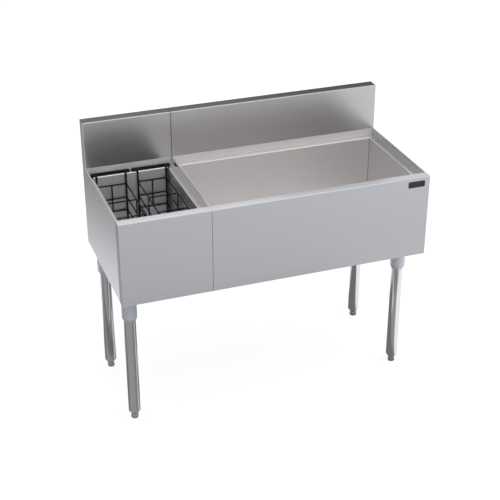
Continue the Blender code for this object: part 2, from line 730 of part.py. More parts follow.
def make_basket(prefix, centre_x):
    """Lift-out wire basket that hangs on the ledge at the front and at the back of the well."""
    frame = bpy.data.objects.new(prefix + "_lift", None)
    frame.location = (centre_x, (MOUTH_FRONT + MOUTH_BACK) / 2, LEDGE)
    bpy.context.scene.collection.objects.link(frame)
    low_x, high_x = centre_x - BASKET_WIDTH / 2, centre_x + BASKET_WIDTH / 2
    front, back = MOUTH_FRONT + BASKET_END_CLEARANCE, MOUTH_BACK - BASKET_END_CLEARANCE
    span = BASKET_DROP - FIRST_LEVEL_DROP
    levels = [LEDGE - FIRST_LEVEL_DROP - span * share for share in LEVEL_SHARES]
    dividers = [front + (back - front) * share for share in DIVIDER_SHARES]
    bar_inset = BAR_RADIUS + HANGER_CLEARANCE
    back_bar, front_bar = SPLASH_FACE - bar_inset, RIM_BACK + bar_inset
    make_basket_end(prefix + "_back_frame", frame, (low_x, high_x), back, back_bar, levels)
    make_basket_end(prefix + "_front_frame", frame, (low_x, high_x), front, front_bar, levels)
    for side, x in (("left", low_x), ("right", high_x)):
        make_basket_side(prefix + "_" + side + "_side", frame, x, (front, back), levels, dividers)
    clear = WIRE_RADIUS + GAP
    for place, y in zip(("front", "back"), dividers):
        ends = [(low_x + clear, y, levels[0]), (high_x - clear, y, levels[0])]
        wire(prefix + "_" + place + "_cross_wire", ends, WIRE_RADIUS, frame)
    make_basket_grid(prefix + "_bottom_grid", frame, (low_x, high_x), (front, back), levels[-1], dividers)


def make_basket_end(name, frame, limits, y, bar_y, levels):
    """End of a basket: one wire makes both corner posts and the hanger, and level wires join them."""
    low_x, high_x = limits
    outward = math.copysign(1, bar_y - y)
    hang = LEDGE + GAP + BAR_RADIUS
    foot = levels[-1] - BAR_RADIUS
    bend = BAR_RADIUS + HANGER_INNER_BEND
    step_y = y + outward * (2 * bend + BAR_RADIUS / 2)
    near_x, far_x = low_x - HANGER_REACH, high_x + HANGER_REACH
    corners = [(low_x, y, foot), (low_x, y, hang), (low_x, step_y, hang), (near_x, step_y, hang),
               (near_x, bar_y, hang), (far_x, bar_y, hang), (far_x, step_y, hang), (high_x, step_y, hang),
               (high_x, y, hang), (high_x, y, foot)]
    loop = abs(bar_y - step_y) / 2
    bends = [bend, bend, loop, loop]
    hanger = wire(name, corners, BAR_RADIUS, frame, bends + bends[::-1])
    level_wires = []
    for index, level in enumerate(levels):
        ends = [(low_x, y, level), (high_x, y, level)]
        level_wires.append(wire(name + "_level_" + str(index), ends, WIRE_RADIUS, frame))
    middle = (low_x + high_x) / 2
    overlap = WIRE_RADIUS / 2
    post = [(middle, y, levels[2] - overlap), (middle, y, levels[0] + overlap)]
    level_wires.append(wire(name + "_post", post, UPRIGHT_RADIUS, frame))
    join(hanger, level_wires)


def make_basket_side(name, frame, x, limits, levels, dividers):
    """Side of a basket: a wire at each level, and an upright at each divider."""
    clear = BAR_RADIUS + GAP
    front, back = limits[0] + clear, limits[1] - clear
    first = wire(name, [(x, front, levels[0]), (x, back, levels[0])], WIRE_RADIUS, frame)
    others = []
    for index, level in enumerate(levels[1:]):
        ends = [(x, front, level), (x, back, level)]
        others.append(wire(name + "_level_" + str(index), ends, WIRE_RADIUS, frame))
    overlap = WIRE_RADIUS / 2
    for index, y in enumerate(dividers):
        ends = [(x, y, levels[-1] - overlap), (x, y, levels[0] + overlap)]
        others.append(wire(name + "_upright_" + str(index), ends, UPRIGHT_RADIUS, frame))
    join(first, others)


def make_basket_grid(name, frame, x_limits, y_limits, level, dividers):
    """Bottom of a basket: long wires, with cross wires welded under them."""
    clear = WIRE_RADIUS + GAP
    low_x, high_x = x_limits[0] + clear, x_limits[1] - clear
    front, back = y_limits[0] + clear, y_limits[1] - clear
    wires = []
    for index, share in enumerate(GRID_SHARES):
        x = x_limits[0] + BASKET_WIDTH * share
        part = name if index == 0 else name + "_long_" + str(index)
        wires.append(wire(part, [(x, front, level), (x, back, level)], WIRE_RADIUS, frame))
    for index, y in enumerate(dividers):
        under = level - WIRE_RADIUS / 2
        ends = [(low_x, y, under), (high_x, y, under)]
        wires.append(wire(name + "_cross_" + str(index), ends, UPRIGHT_RADIUS, frame))
    join(wires[0], wires[1:])


def make_nameplate():
    """Blank plate with round corners on the fascia, near its top right corner."""
    centre_x = RIGHT - PLATE_SIDE_INSET
    centre_z = RIM_HEIGHT - PLATE_RIM_DROP
    outline = rounded_rectangle(centre_x - PLATE_WIDTH / 2, centre_x + PLATE_WIDTH / 2,
                                centre_z - PLATE_HEIGHT / 2, centre_z + PLATE_HEIGHT / 2, PLATE_CORNER)
    back = FACE - GAP
    material = (BLACK_COAT, 0.3, 0.0)
    prism("nameplate", outline, "Y", back - PLATE_THICKNESS, back, material, (centre_x, back, centre_z))


def make_module(module):
    """Everything that one module holds between its two ends, apart from the end panels."""
    name = module["name"]
    make_fascia(name + "_fascia", module)
    make_splash(name + "_backsplash", module)
    make_rear_panel(name + "_rear_panel", module)
    make_pan(name + "_bottom_pan", module)
    make_liner(name + "_liner", module)
    make_foam(name + "_insulation", module)
    make_drain(module)


def build():
    clear_scene()
    make_module(WELL)
    make_module(BIN)
    make_end_panel("left_end_panel", WELL["low"], 1, END_HEM)
    make_end_panel("divider_panel", DIVIDER_LOW, 1, DIVIDER_HEM)
    make_end_panel("right_end_panel", BIN["high"], -1, END_HEM)
    make_channel("leg_channel_left", LEFT + LEG_LEFT_INSET)
    make_channel("leg_channel_right", RIGHT - LEG_RIGHT_INSET)
    for corner, centre in leg_places().items():
        make_leg(corner, centre)
    first = LEFT + BASKET_FIRST
    make_basket("left_basket", first)
    make_basket("right_basket", first + BASKET_PITCH)
    make_nameplate()


build()
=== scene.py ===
"""Looks of the underbar station: fine sheet metal, turned legs and coated wire baskets.

Metres, +Z up. Every fine piece is made from the same sizes as the frame and stands for one of
the frame's nodes.
"""

import math

import bmesh
import bpy
from mathutils import Matrix, Vector


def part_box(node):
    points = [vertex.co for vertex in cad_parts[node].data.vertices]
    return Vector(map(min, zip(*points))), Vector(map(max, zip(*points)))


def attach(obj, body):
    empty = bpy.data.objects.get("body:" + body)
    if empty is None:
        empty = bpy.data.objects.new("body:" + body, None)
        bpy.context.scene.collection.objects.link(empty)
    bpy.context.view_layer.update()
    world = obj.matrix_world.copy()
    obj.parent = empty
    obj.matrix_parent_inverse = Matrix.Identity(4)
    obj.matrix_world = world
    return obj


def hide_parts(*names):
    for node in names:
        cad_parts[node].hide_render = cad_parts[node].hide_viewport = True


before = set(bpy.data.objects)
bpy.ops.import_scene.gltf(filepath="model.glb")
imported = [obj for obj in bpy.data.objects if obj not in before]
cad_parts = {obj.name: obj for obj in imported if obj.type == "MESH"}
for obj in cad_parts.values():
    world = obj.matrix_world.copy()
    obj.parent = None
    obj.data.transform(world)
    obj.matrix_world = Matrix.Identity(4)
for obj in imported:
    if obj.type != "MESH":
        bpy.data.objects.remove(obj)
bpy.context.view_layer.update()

# ---------------------------- sheet, gap and sizes read from the frame
SHEET = 0.0012
GAP = 0.0003
OVERRUN = 0.0100  # how far a cutter reaches past what it cuts

bin_face_low, bin_face_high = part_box("bin_fascia")
well_face_low, well_face_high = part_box("well_fascia")
splash_low, splash_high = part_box("bin_backsplash")
bin_liner_low, bin_liner_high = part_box("bin_liner")
left_panel_low, left_panel_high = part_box("left_end_panel")
divider_low, divider_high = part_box("divider_panel")

LEFT, RIGHT = well_face_low.x, bin_face_high.x
FACE, RIM_BACK = bin_face_low.y, bin_face_high.y
BODY_BOTTOM, RIM = bin_face_low.z, bin_face_high.z
SPLASH_FACE, SPLASH_BACK, SPLASH_TOP = splash_low.y, splash_high.y, splash_high.z
LEDGE, FLOOR = bin_liner_high.z, bin_liner_low.z + SHEET
END_HEM = left_panel_high.x - left_panel_low.x

# ---------------------------- sizes of the forms
RIM_FRONT_BEND, RIM_BACK_BEND = 0.0035, 0.0030
CORNER_BEND, OUTER_BEND = 0.0010, 0.0018
SPLASH_BEND, SPLASH_BEND_STEPS = 0.0025, 7
MOUTH_BEND, FLOOR_BEND = 0.0030, 0.0060
LINER_CORNER = 0.0016
FRONT_LEDGE, BACK_LEDGE = 0.0216, 0.0224
EDGE_SOFTENING, SOFTENED_ANGLE = 0.00025, 40
SLIVER = 0.00002
BEAD_RADIUS, BEAD_ROOT = 0.0009, 0.0005
HEM_LINE_WIDTH, HEM_LINE_DEPTH = 0.0009, 0.0010
DRAIN_FLANGE, DRAIN_THICK, DRAIN_LIP = 0.0285, 0.0020, 0.0004
DRAIN_SHANK, DRAIN_BORE, DRAIN_SEAT = 0.0190, 0.0150, 0.0178
DRAIN_SIDES, DRAIN_HOLE_SIDES = 64, 48
RETURN_NORMAL, WALL_NORMAL, SEAM_NORMAL = 0.95, 0.9, 0.2  # limits that pick faces for darker copies of the steel (painted shade) or another finish

WELL = {
    "name": "well", "low": LEFT, "high": well_face_high.x,
    "rim_low": LEFT + END_HEM, "rim_high": divider_low.x,
    "low_ledge": 0.0167, "high_ledge": 0.0203,
}
BIN = {
    "name": "bin", "low": bin_face_low.x, "high": RIGHT,
    "rim_low": divider_high.x, "rim_high": RIGHT - END_HEM,
    "low_ledge": 0.0236, "high_ledge": 0.0218,
}
MOUTH_FRONT, MOUTH_BACK = RIM_BACK + FRONT_LEDGE, SPLASH_FACE - BACK_LEDGE

# ---------------------------- shape helpers
BEND_STEPS = 8  # faces round a bend or a corner
PATH_STEPS = 6  # steps round a bend in a wire
FILLET_STEPS, FILLET_MOST = 4, 0.45  # a fillet takes up this much of an edge at most
WIRE_DOME = ((0.45, 0.0), (0.85, 0.18), (1.0, 0.45))  # shares of the radius: across, along


def arc(centre_u, centre_v, radius, start, end, steps=BEND_STEPS):
    """Points on an arc in a flat outline, from one angle in degrees to the other."""
    points = []
    for step in range(steps + 1):
        angle = math.radians(start + (end - start) * step / steps)
        points.append((centre_u + radius * math.cos(angle), centre_v + radius * math.sin(angle)))
    return points


def rounded_rectangle(low_x, high_x, low_y, high_y, radius):
    """Points round a rectangle with round corners, always as many."""
    points = arc(high_x - radius, high_y - radius, radius, 0, 90)
    points += arc(low_x + radius, high_y - radius, radius, 90, 180)
    points += arc(low_x + radius, low_y + radius, radius, 180, 270)
    points += arc(high_x - radius, low_y + radius, radius, 270, 360)
    return points


def bridge(shape, lower, upper):
    """Faces between two rings of as many points."""
    count = len(lower)
    for index in range(count):
        after = (index + 1) % count
        shape.faces.new((lower[index], lower[after], upper[after], upper[index]))


def loft_rings(shape, rings):
    """Close up a shape through its rings, with a flat face at each end."""
    for lower, upper in zip(rings, rings[1:]):
        bridge(shape, lower, upper)
    shape.faces.new(rings[0])
    shape.faces.new(rings[-1])
    bmesh.ops.recalc_face_normals(shape, faces=shape.faces)
    return shape


def loft_shape(loops):
    """A shape through loops of as many points each."""
    shape = bmesh.new()
    return loft_rings(shape, [[shape.verts.new(point) for point in loop] for loop in loops])


def prism_shape(outline, axis, low, high):
    """An outline, given in the other two axes in XYZ order, extruded along an axis."""
    slot = "XYZ".index(axis)
    return loft_shape([[(*pair[:slot], level, *pair[slot:]) for pair in outline]
                       for level in (low, high)])


def box_shape(low, high):
    outline = [(low[0], low[1]), (high[0], low[1]), (high[0], high[1]), (low[0], high[1])]
    return prism_shape(outline, "Z", low[2], high[2])


def turned_shape(profile, centre, sides, turn=0.0):
    """(radius, height) pairs turned about an upright axis. A radius of 0 makes a pole."""
    shape = bmesh.new()
    rings = []
    for radius, height in profile:
        if radius == 0:
            rings.append([shape.verts.new((centre[0], centre[1], height))])
            continue
        ring = []
        for side in range(sides):
            angle = 2 * math.pi * side / sides + math.radians(turn)
            ring.append(shape.verts.new((centre[0] + radius * math.cos(angle),
                                         centre[1] + radius * math.sin(angle), height)))
        rings.append(ring)
    pairs = list(zip(rings, rings[1:]))
    if profile[0][0] > 0:
        pairs.append((rings[-1], rings[0]))
    for lower, upper in pairs:
        if len(lower) == len(upper):
            bridge(shape, lower, upper)
            continue
        for side in range(sides):
            after = (side + 1) % sides
            if len(lower) == 1:
                shape.faces.new((lower[0], upper[after], upper[side]))
            else:
                shape.faces.new((lower[side], lower[after], upper[0]))
    bmesh.ops.recalc_face_normals(shape, faces=shape.faces)
    return shape


def rod_shape(centre, radius, low, high, sides, turn=0.0):
    """A plain upright rod."""
    return turned_shape([(0, low), (radius, low), (radius, high), (0, high)], centre, sides, turn)


def sweep_shape(points, radius, sides, dome=True):
    """A round wire along a path, with rings that don't twist, and domed or flat ends."""
    points = [Vector(point) for point in points]
    directions = [(after - before).normalized() for before, after in zip(points, points[1:])]
    shape = bmesh.new()
    side_way = directions[0].orthogonal().normalized()
    rings = []
    for index, point in enumerate(points):
        before = directions[max(index - 1, 0)]
        after = directions[min(index, len(directions) - 1)]
        heading = (before + after).normalized()
        side_way = (side_way - side_way.dot(heading) * heading).normalized()
        up_way = heading.cross(side_way)
        levels = [(1.0, 0.0)]
        if dome and index == 0:
            levels = WIRE_DOME
        elif dome and index == len(points) - 1:
            levels = [(across, -along) for across, along in reversed(WIRE_DOME)]
        for across, along in levels:
            ring = []
            for side in range(sides):
                angle = 2 * math.pi * (side + 0.5) / sides
                offset = radius * across * (math.cos(angle) * side_way + math.sin(angle) * up_way)
                ring.append(shape.verts.new(point + heading * (along * radius) + offset))
            rings.append(ring)
    return loft_rings(shape, rings)


def bent_path(corners, bends):
    """A path through corner points, with each inner corner rounded by its bend radius."""
    path = [Vector(corners[0])]
    for index in range(1, len(corners) - 1):
        corner = Vector(corners[index])
        back = (Vector(corners[index - 1]) - corner).normalized()
        ahead = (Vector(corners[index + 1]) - corner).normalized()
        half = back.angle(ahead) / 2
        radius = bends[index - 1]
        centre = corner + (back + ahead).normalized() * radius / math.sin(half)
        first = (corner + back * radius / math.tan(half) - centre).normalized()
        last = (corner + ahead * radius / math.tan(half) - centre).normalized()
        for step in range(PATH_STEPS + 1):
            point = centre + radius * first.slerp(last, step / PATH_STEPS)
            if (point - path[-1]).length > GAP:
                path.append(point)
    path.append(Vector(corners[-1]))
    return path


def fillet(points, radius):
    """A (radius, height) outline whose marked inner corners are rounded, by a share each."""
    made = []
    for index, (point, share) in enumerate(points):
        if not share or index in (0, len(points) - 1):
            made.append(point)
            continue
        here = Vector((*point, 0))
        before = Vector((*points[index - 1][0], 0)) - here
        after = Vector((*points[index + 1][0], 0)) - here
        trim = min(radius * share, before.length * FILLET_MOST, after.length * FILLET_MOST)
        first, last = here + before.normalized() * trim, here + after.normalized() * trim
        for step in range(FILLET_STEPS + 1):
            t = step / FILLET_STEPS
            spot = first * (1 - t) ** 2 + here * 2 * t * (1 - t) + last * t ** 2
            made.append((spot.x, spot.y))
    return made


def to_object(name, shape):
    mesh = bpy.data.meshes.new(name)
    shape.to_mesh(mesh)
    shape.free()
    item = bpy.data.objects.new(name, mesh)
    bpy.context.scene.collection.objects.link(item)
    return item


def settle(item):
    """Apply the modifiers of an object and drop them."""
    bpy.context.view_layer.update()
    evaluated = item.evaluated_get(bpy.context.evaluated_depsgraph_get())
    mesh = bpy.data.meshes.new_from_object(evaluated)
    old = item.data
    item.modifiers.clear()
    item.data = mesh
    bpy.data.meshes.remove(old)


def remove(item):
    mesh = item.data
    bpy.data.objects.remove(item, do_unlink=True)
    bpy.data.meshes.remove(mesh)


def boolean(item, others, operation):
    """Cut the other shapes from the item, fuse them to it or keep what they share with it."""
    for other in others:
        step = item.modifiers.new("step", "BOOLEAN")
        step.operation = operation
        step.solver = "EXACT"
        step.object = other
    settle(item)
    for other in others:
        remove(other)


def drop_slivers(item):
    """Close up the hair-thin faces that a cut can leave."""
    shape = bmesh.new()
    shape.from_mesh(item.data)
    bmesh.ops.dissolve_degenerate(shape, dist=SLIVER, edges=shape.edges)
    shape.to_mesh(item.data)
    shape.free()


def soften(item, width=EDGE_SOFTENING, segments=2):
    """Round every sharp edge by a hair, so that it catches the light."""
    step = item.modifiers.new("soften", "BEVEL")
    step.width = width
    step.segments = segments
    step.limit_method = "ANGLE"
    step.angle_limit = math.radians(SOFTENED_ANGLE)
    step.use_clamp_overlap = True
    settle(item)


SHEET_ANGLE, TURNED_ANGLE, WIRE_ANGLE = 32, 30, 40  # sharper edges than this stay sharp


def smooth(item, angle=SHEET_ANGLE):
    """Smooth round faces. Normals are weighted by area, so that flat sheets reflect flat."""
    item.data.shade_smooth()
    item.data.set_sharp_from_angle(angle=math.radians(angle))
    step = item.modifiers.new("normals", "WEIGHTED_NORMAL")
    step.mode = "FACE_AREA"
    step.weight = 50
    step.keep_sharp = True
    settle(item)


def finish_piece(item, node, materials, body="station"):
    """Give a fine piece its materials and its body, and hide the frame node that it stands for."""
    item.data.materials.clear()
    for material in materials:
        item.data.materials.append(material)
    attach(item, body)
    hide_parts(node)


# ---------------------------- node tree helpers
def calc(tree, operation, first, second, clamp=False):
    """One sum in a node tree. Each side is a number or the output of a node."""
    node = tree.nodes.new("ShaderNodeMath")
    node.operation = operation
    node.use_clamp = clamp
    for side, value in enumerate((first, second)):
        if isinstance(value, (int, float)):
            node.inputs[side].default_value = value
        else:
            tree.links.new(value, node.inputs[side])
    return node.outputs["Value"]


def map_range(tree, value, from_low, from_high, low, high, kind="LINEAR"):
    """Map one range of numbers to another."""
    node = tree.nodes.new("ShaderNodeMapRange")
    node.interpolation_type = kind
    node.inputs["From Min"].default_value = from_low
    node.inputs["From Max"].default_value = from_high
    node.inputs["To Min"].default_value = low
    node.inputs["To Max"].default_value = high
    tree.links.new(value, node.inputs["Value"])
    return node.outputs["Result"]


def ease(tree, value, from_low, from_high, low, high):
    """A soft step from one level to another."""
    return map_range(tree, value, from_low, from_high, low, high, "SMOOTHSTEP")


def reach(tree, value, low, high, soft):
    """1 between two places and 0 outside, with soft ends."""
    rise = ease(tree, value, low - soft, low, 0.0, 1.0)
    return calc(tree, "MULTIPLY", rise, ease(tree, value, high, high + soft, 1.0, 0.0))


def mix_shaders(tree, share, first, second, out):
    """The first shader where the share is 0 and the second where it is 1, to the output."""
    mix = tree.nodes.new("ShaderNodeMixShader")
    tree.links.new(share, mix.inputs["Fac"])
    tree.links.new(first.outputs[0], mix.inputs[1])
    tree.links.new(second.outputs[0], mix.inputs[2])
    tree.links.new(mix.outputs[0], out.inputs["Surface"])


# ---------------------------- materials
NOISE_RANGE = (0.3, 0.7)  # where most of a noise lies
ALONG_GRAIN, ACROSS_GRAIN = 14.0, 2600.0  # fine lines
ALONG_CLOUD, ACROSS_CLOUD = 2.0, 9.0  # soft wear
GRAIN_RELIEF = 0.00003
CAST_CLOUD, CAST_CONTRAST, CAST_RELIEF = 28.0, 0.08, 0.25
CAST_SWING, CAST_CLOUD_SWING = 0.05, 0.03  # in roughness


def new_material(name):
    material = bpy.data.materials.new(name)
    material.use_nodes = True
    tree = material.node_tree
    return material, tree, tree.nodes["Principled BSDF"]


def add_noise(tree, scales, detail=3.0, roughness=0.55):
    """Noise in the object's own metres, stretched by the three scales."""
    place = tree.nodes.new("ShaderNodeTexCoord")
    mapping = tree.nodes.new("ShaderNodeMapping")
    mapping.inputs["Scale"].default_value = scales
    tree.links.new(place.outputs["Object"], mapping.inputs["Vector"])
    noise = tree.nodes.new("ShaderNodeTexNoise")
    noise.inputs["Scale"].default_value = 1.0
    noise.inputs["Detail"].default_value = detail
    noise.inputs["Roughness"].default_value = roughness
    tree.links.new(mapping.outputs["Vector"], noise.inputs["Vector"])
    return noise.outputs["Fac"]


def spread(tree, noise, low, high):
    """Map a noise to a range of numbers."""
    return map_range(tree, noise, *NOISE_RANGE, low, high)


def tint(tree, shader, value, colour, contrast):
    """Vary the shader's colour by a number, a little down and up."""
    node = tree.nodes.new("ShaderNodeMix")
    node.data_type = "RGBA"
    tree.links.new(value, node.inputs["Factor"])
    node.inputs["A"].default_value = (*(c * (1 - contrast) for c in colour), 1)
    node.inputs["B"].default_value = (*(min(1.0, c * (1 + contrast)) for c in colour), 1)
    tree.links.new(node.outputs["Result"], shader.inputs["Base Color"])


def bump(tree, shader, height, strength, distance):
    node = tree.nodes.new("ShaderNodeBump")
    node.inputs["Strength"].default_value = strength
    node.inputs["Distance"].default_value = distance
    tree.links.new(height, node.inputs["Height"])
    tree.links.new(node.outputs["Normal"], shader.inputs["Normal"])


def stretched(axis, along, across):
    return tuple(along if letter == axis else across for letter in "XYZ")


def brushed(name, colour, roughness, grain, contrast=0.014):
    """Brushed stainless: fine lines along the grain in roughness, tone and relief, soft wear."""
    swing, relief = 0.015, 0.006
    material, tree, shader = new_material(name)
    lines = add_noise(tree, stretched(grain, ALONG_GRAIN, ACROSS_GRAIN), 4.0, 0.7)
    clouds = add_noise(tree, stretched(grain, ALONG_CLOUD, ACROSS_CLOUD))
    tone = calc(tree, "ADD", spread(tree, lines, 0.0, 0.6), spread(tree, clouds, 0.0, 0.4))
    tint(tree, shader, tone, colour, contrast)
    rough = calc(tree, "ADD", spread(tree, lines, roughness - swing, roughness + swing),
                 spread(tree, clouds, -swing * 0.4, swing * 0.4))
    tree.links.new(rough, shader.inputs["Roughness"])
    shader.inputs["Metallic"].default_value = 1.0
    bump(tree, shader, lines, relief, GRAIN_RELIEF)
    return material


def cast(name, colour, roughness, metallic, grain=900.0, relief=0.0002, gloss=0.5):
    """Cast or moulded surface with a fine even grain and cloudy tone."""
    material, tree, shader = new_material(name)
    fine = add_noise(tree, (grain, grain, grain))
    clouds = add_noise(tree, (CAST_CLOUD, CAST_CLOUD, CAST_CLOUD))
    tone = calc(tree, "ADD", spread(tree, fine, 0.0, 0.5), spread(tree, clouds, 0.0, 0.5))
    tint(tree, shader, tone, colour, CAST_CONTRAST)
    rough = calc(tree, "ADD", spread(tree, fine, roughness - CAST_SWING, roughness + CAST_SWING),
                 spread(tree, clouds, -CAST_CLOUD_SWING, CAST_CLOUD_SWING))
    tree.links.new(rough, shader.inputs["Roughness"])
    shader.inputs["Metallic"].default_value = metallic
    shader.inputs["Specular IOR Level"].default_value = gloss
    bump(tree, shader, fine, CAST_RELIEF, relief)
    return material


COOL = (0.555, 0.564, 0.590)

fascia_steel = brushed("fascia_steel", COOL, 0.23, "X")
end_steel = brushed("end_panel_steel", COOL, 0.24, "Y")
divider_steel = brushed("divider_steel", (0.62, 0.615, 0.615), 0.14, "Y")
splash_steel = brushed("splash_steel", (0.582, 0.572, 0.576), 0.29, "X")
# A darker copy of the fascia steel for its side returns: painted shade.
return_painted_shade_steel = brushed("return_painted_shade_steel", (0.420, 0.428, 0.448), 0.55, "Z")
# A much lighter copy of the splash steel for the skirt below the rim: painted light.
skirt_painted_light_steel = brushed("skirt_painted_light_steel", (0.84, 0.83, 0.823), 0.60, "X")
liner_steel = brushed("liner_steel", (0.872, 0.855, 0.852), 0.40, "X")
well_steel = brushed("well_liner_steel", (0.915, 0.907, 0.912), 0.50, "X")
well_side_steel = brushed("well_side_steel", (0.900, 0.893, 0.895), 0.28, "Y")
# A darker copy of the bin liner steel for its side walls: painted shade.
bin_side_painted_shade_steel = brushed("bin_side_painted_shade_steel", (0.715, 0.700, 0.698), 0.40, "Y")
# The darkest copy, for the bends at the fascia seam and the liners' tight corners: painted shadow
# in joints and corners.
seam_painted_shade_steel = brushed("liner_seam_steel", (0.360, 0.352, 0.350), 0.45, "Z")
# A copy for the liners' ledge, lighter than the outer sheets: painted light.
ledge_painted_light_steel = brushed("ledge_painted_light_steel", (0.740, 0.729, 0.722), 0.20, "X")
sheet_steel = brushed("galvanised_sheet", (0.55, 0.56, 0.58), 0.40, "X", contrast=0.08)
tube_steel = brushed("polished_tube", (0.715, 0.722, 0.750), 0.10, "Z")
strainer_steel = brushed("strainer_steel", (0.60, 0.60, 0.61), 0.28, "Y")
socket_cast = cast("satin_socket", (0.530, 0.550, 0.590), 0.42, 0.6, relief=0.0001)
foot_cast = cast("foot_steel", (0.56, 0.565, 0.580), 0.24, 1.0, relief=0.00005)
drain_plate = cast("drain_metal", (0.60, 0.58, 0.54), 0.25, 1.0, 1500.0, 0.00005)
wire_coat = cast("black_coated_wire", (0.011, 0.0113, 0.0117), 0.48, 0.0, 500.0, 0.0003, 0.10)
plate_black = cast("black_plate", (0.012, 0.012, 0.013), 0.22, 0.0, 700.0, 0.00005)
rubber = cast("gasket_rubber", (0.02, 0.02, 0.02), 0.7, 0.0, 1200.0)
foam = cast("foam", (0.72, 0.62, 0.38), 0.85, 0.0, 420.0, 0.0012)


# ---------------------------- sheet metal
def fascia_outline(thick=0.0):
    """The fascia seen from its end, or the space inside the folded sheet."""
    if not thick:
        points = [(FACE, BODY_BOTTOM), (RIM_BACK, BODY_BOTTOM)]
    else:
        past = RIM_BACK + OVERRUN
        points = [(FACE + thick, BODY_BOTTOM + thick), (past, BODY_BOTTOM + thick),
                  (past, LEDGE + GAP), (RIM_BACK - thick, LEDGE + GAP)]
    points += arc(RIM_BACK - RIM_BACK_BEND, RIM - RIM_BACK_BEND, RIM_BACK_BEND - thick, 0, 90)
    points += arc(FACE + RIM_FRONT_BEND, RIM - RIM_FRONT_BEND, RIM_FRONT_BEND - thick, 90, 180)
    return points


def round_front_corners(shape, low, high, thick=0.0):
    """Round the upright front edges: the folded outer corner by more than the one at the seam."""
    for place, outer in ((low, LEFT), (high, RIGHT)):
        bend = (OUTER_BEND if abs(place - outer) < GAP else CORNER_BEND) - thick
        if bend <= 0:
            continue
        inner = place + math.copysign(thick, low + high - 2 * place)
        corners = []
        for edge in shape.edges:
            first, second = (vert.co for vert in edge.verts)
            tall = abs(first.z - second.z) > (RIM - BODY_BOTTOM) / 2
            if tall and abs(first.y - FACE - thick) < GAP and abs(first.x - inner) < GAP / 4:
                corners.append(edge)
        bmesh.ops.bevel(shape, geom=corners, offset=bend, segments=BEND_STEPS, profile=0.5,
                        affect="EDGES")
    return shape


def make_fascia(module):
    node = module["name"] + "_fascia"
    low, high = module["low"], module["high"]
    shape = round_front_corners(prism_shape(fascia_outline(), "X", low, high), low, high)
    fascia = to_object(node + "_fine", shape)
    void = prism_shape(fascia_outline(SHEET), "X", low + SHEET, high - SHEET)
    void = to_object("void", round_front_corners(void, low, high, SHEET))
    boolean(fascia, [void], "DIFFERENCE")
    soften(fascia)
    smooth(fascia)
    finish_piece(fascia, node, (fascia_steel, return_painted_shade_steel, seam_painted_shade_steel))
    seam = high if module is WELL else low
    # Faces picked here get darker copies of the steel: the side return at the outer end is painted
    # shade, and the bend faces at the seam are a painted shadow in the joint.
    for face in fascia.data.polygons:
        if abs(face.normal.x) > RETURN_NORMAL and abs(abs(face.center.x) - RIGHT) < GAP:
            face.material_index = 1
        elif abs(face.center.x - seam) < CORNER_BEND:
            face.material_index = 2


def make_end_panel(node, outer_x, inward, hem, steel):
    """An upright sheet whose top is folded to a round hem, with a fold line along its crown."""
    inner_x, hem_x = outer_x + inward * SHEET, outer_x + inward * hem
    middle, radius = outer_x + inward * hem / 2, hem / 2
    half = HEM_LINE_WIDTH / 2
    lean = math.degrees(math.acos(half / radius))
    top = arc(middle, RIM - radius, radius, 0, lean)
    top += [(middle + half, RIM - HEM_LINE_DEPTH), (middle - half, RIM - HEM_LINE_DEPTH)]
    top += arc(middle, RIM - radius, radius, 180 - lean, 180)
    if inward < 0:
        top.reverse()
    outline = [(outer_x, BODY_BOTTOM), (inner_x, BODY_BOTTOM), (inner_x, LEDGE + GAP),
               (hem_x, LEDGE + GAP)] + top
    low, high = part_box(node)
    panel = to_object(node + "_fine", prism_shape(outline, "Y", low.y, high.y))
    soften(panel)
    smooth(panel)
    finish_piece(panel, node, (steel,))


def make_splash(module):
    """A folded box, open below, whose front runs down behind the liner's ledge as a skirt."""
    node = module["name"] + "_backsplash"
    low, high = module["low"], module["high"]
    bottom, seat = LEDGE + GAP, RIM + GAP
    shape = box_shape((low, SPLASH_FACE, bottom), (high, SPLASH_BACK, SPLASH_TOP))
    outer = []
    for edge in shape.edges:
        first, second = (vert.co.z for vert in edge.verts)
        top = abs(first - SPLASH_TOP) < GAP and abs(second - SPLASH_TOP) < GAP
        if top or abs(first - second) > (SPLASH_TOP - RIM) / 2:
            outer.append(edge)
    bmesh.ops.bevel(shape, geom=outer, offset=SPLASH_BEND, segments=SPLASH_BEND_STEPS,
                    profile=0.5, affect="EDGES")
    splash = to_object(node + "_fine", shape)
    skirt_low, skirt_high = module["rim_low"] + GAP, module["rim_high"] - GAP
    inside, under = SPLASH_FACE + SHEET, bottom - OVERRUN
    front, back = SPLASH_FACE - OVERRUN, SPLASH_BACK + OVERRUN
    cuts = [
        ((low + SHEET, inside, under), (high - SHEET, SPLASH_BACK - SHEET, SPLASH_TOP - SHEET)),
        ((low - OVERRUN, inside, under), (high + OVERRUN, back, seat)),
        ((low - OVERRUN, front, under), (skirt_low, back, seat)),
        ((skirt_high, front, under), (high + OVERRUN, back, seat)),
    ]
    boolean(splash, [to_object("cutter" + str(index), box_shape(*pair))
                     for index, pair in enumerate(cuts)], "DIFFERENCE")
    soften(splash)
    root = SPLASH_FACE + BEAD_ROOT
    bead = arc(SPLASH_FACE, RIM, BEAD_RADIUS, 90, 270)
    bead += [(root, RIM - BEAD_RADIUS), (root, RIM + BEAD_RADIUS)]
    boolean(splash, [to_object("bead", prism_shape(bead, "X", skirt_low, skirt_high))], "UNION")
    drop_slivers(splash)
    smooth(splash)
    finish_piece(splash, node, (splash_steel, skirt_painted_light_steel))
    # The skirt below the rim: painted light.
    for face in splash.data.polygons:
        if face.center.z < RIM and face.center.y < SPLASH_FACE + SHEET / 2:
            face.material_index = 1


def mouth(module):
    """The opening of a liner: low and high X, low and high Y."""
    return (module["rim_low"] + module["low_ledge"], module["rim_high"] - module["high_ledge"],
            MOUTH_FRONT, MOUTH_BACK)


def drain_centre(module):
    low_x, high_x, low_y, high_y = mouth(module)
    return (low_x + high_x) / 2, (low_y + high_y) / 2


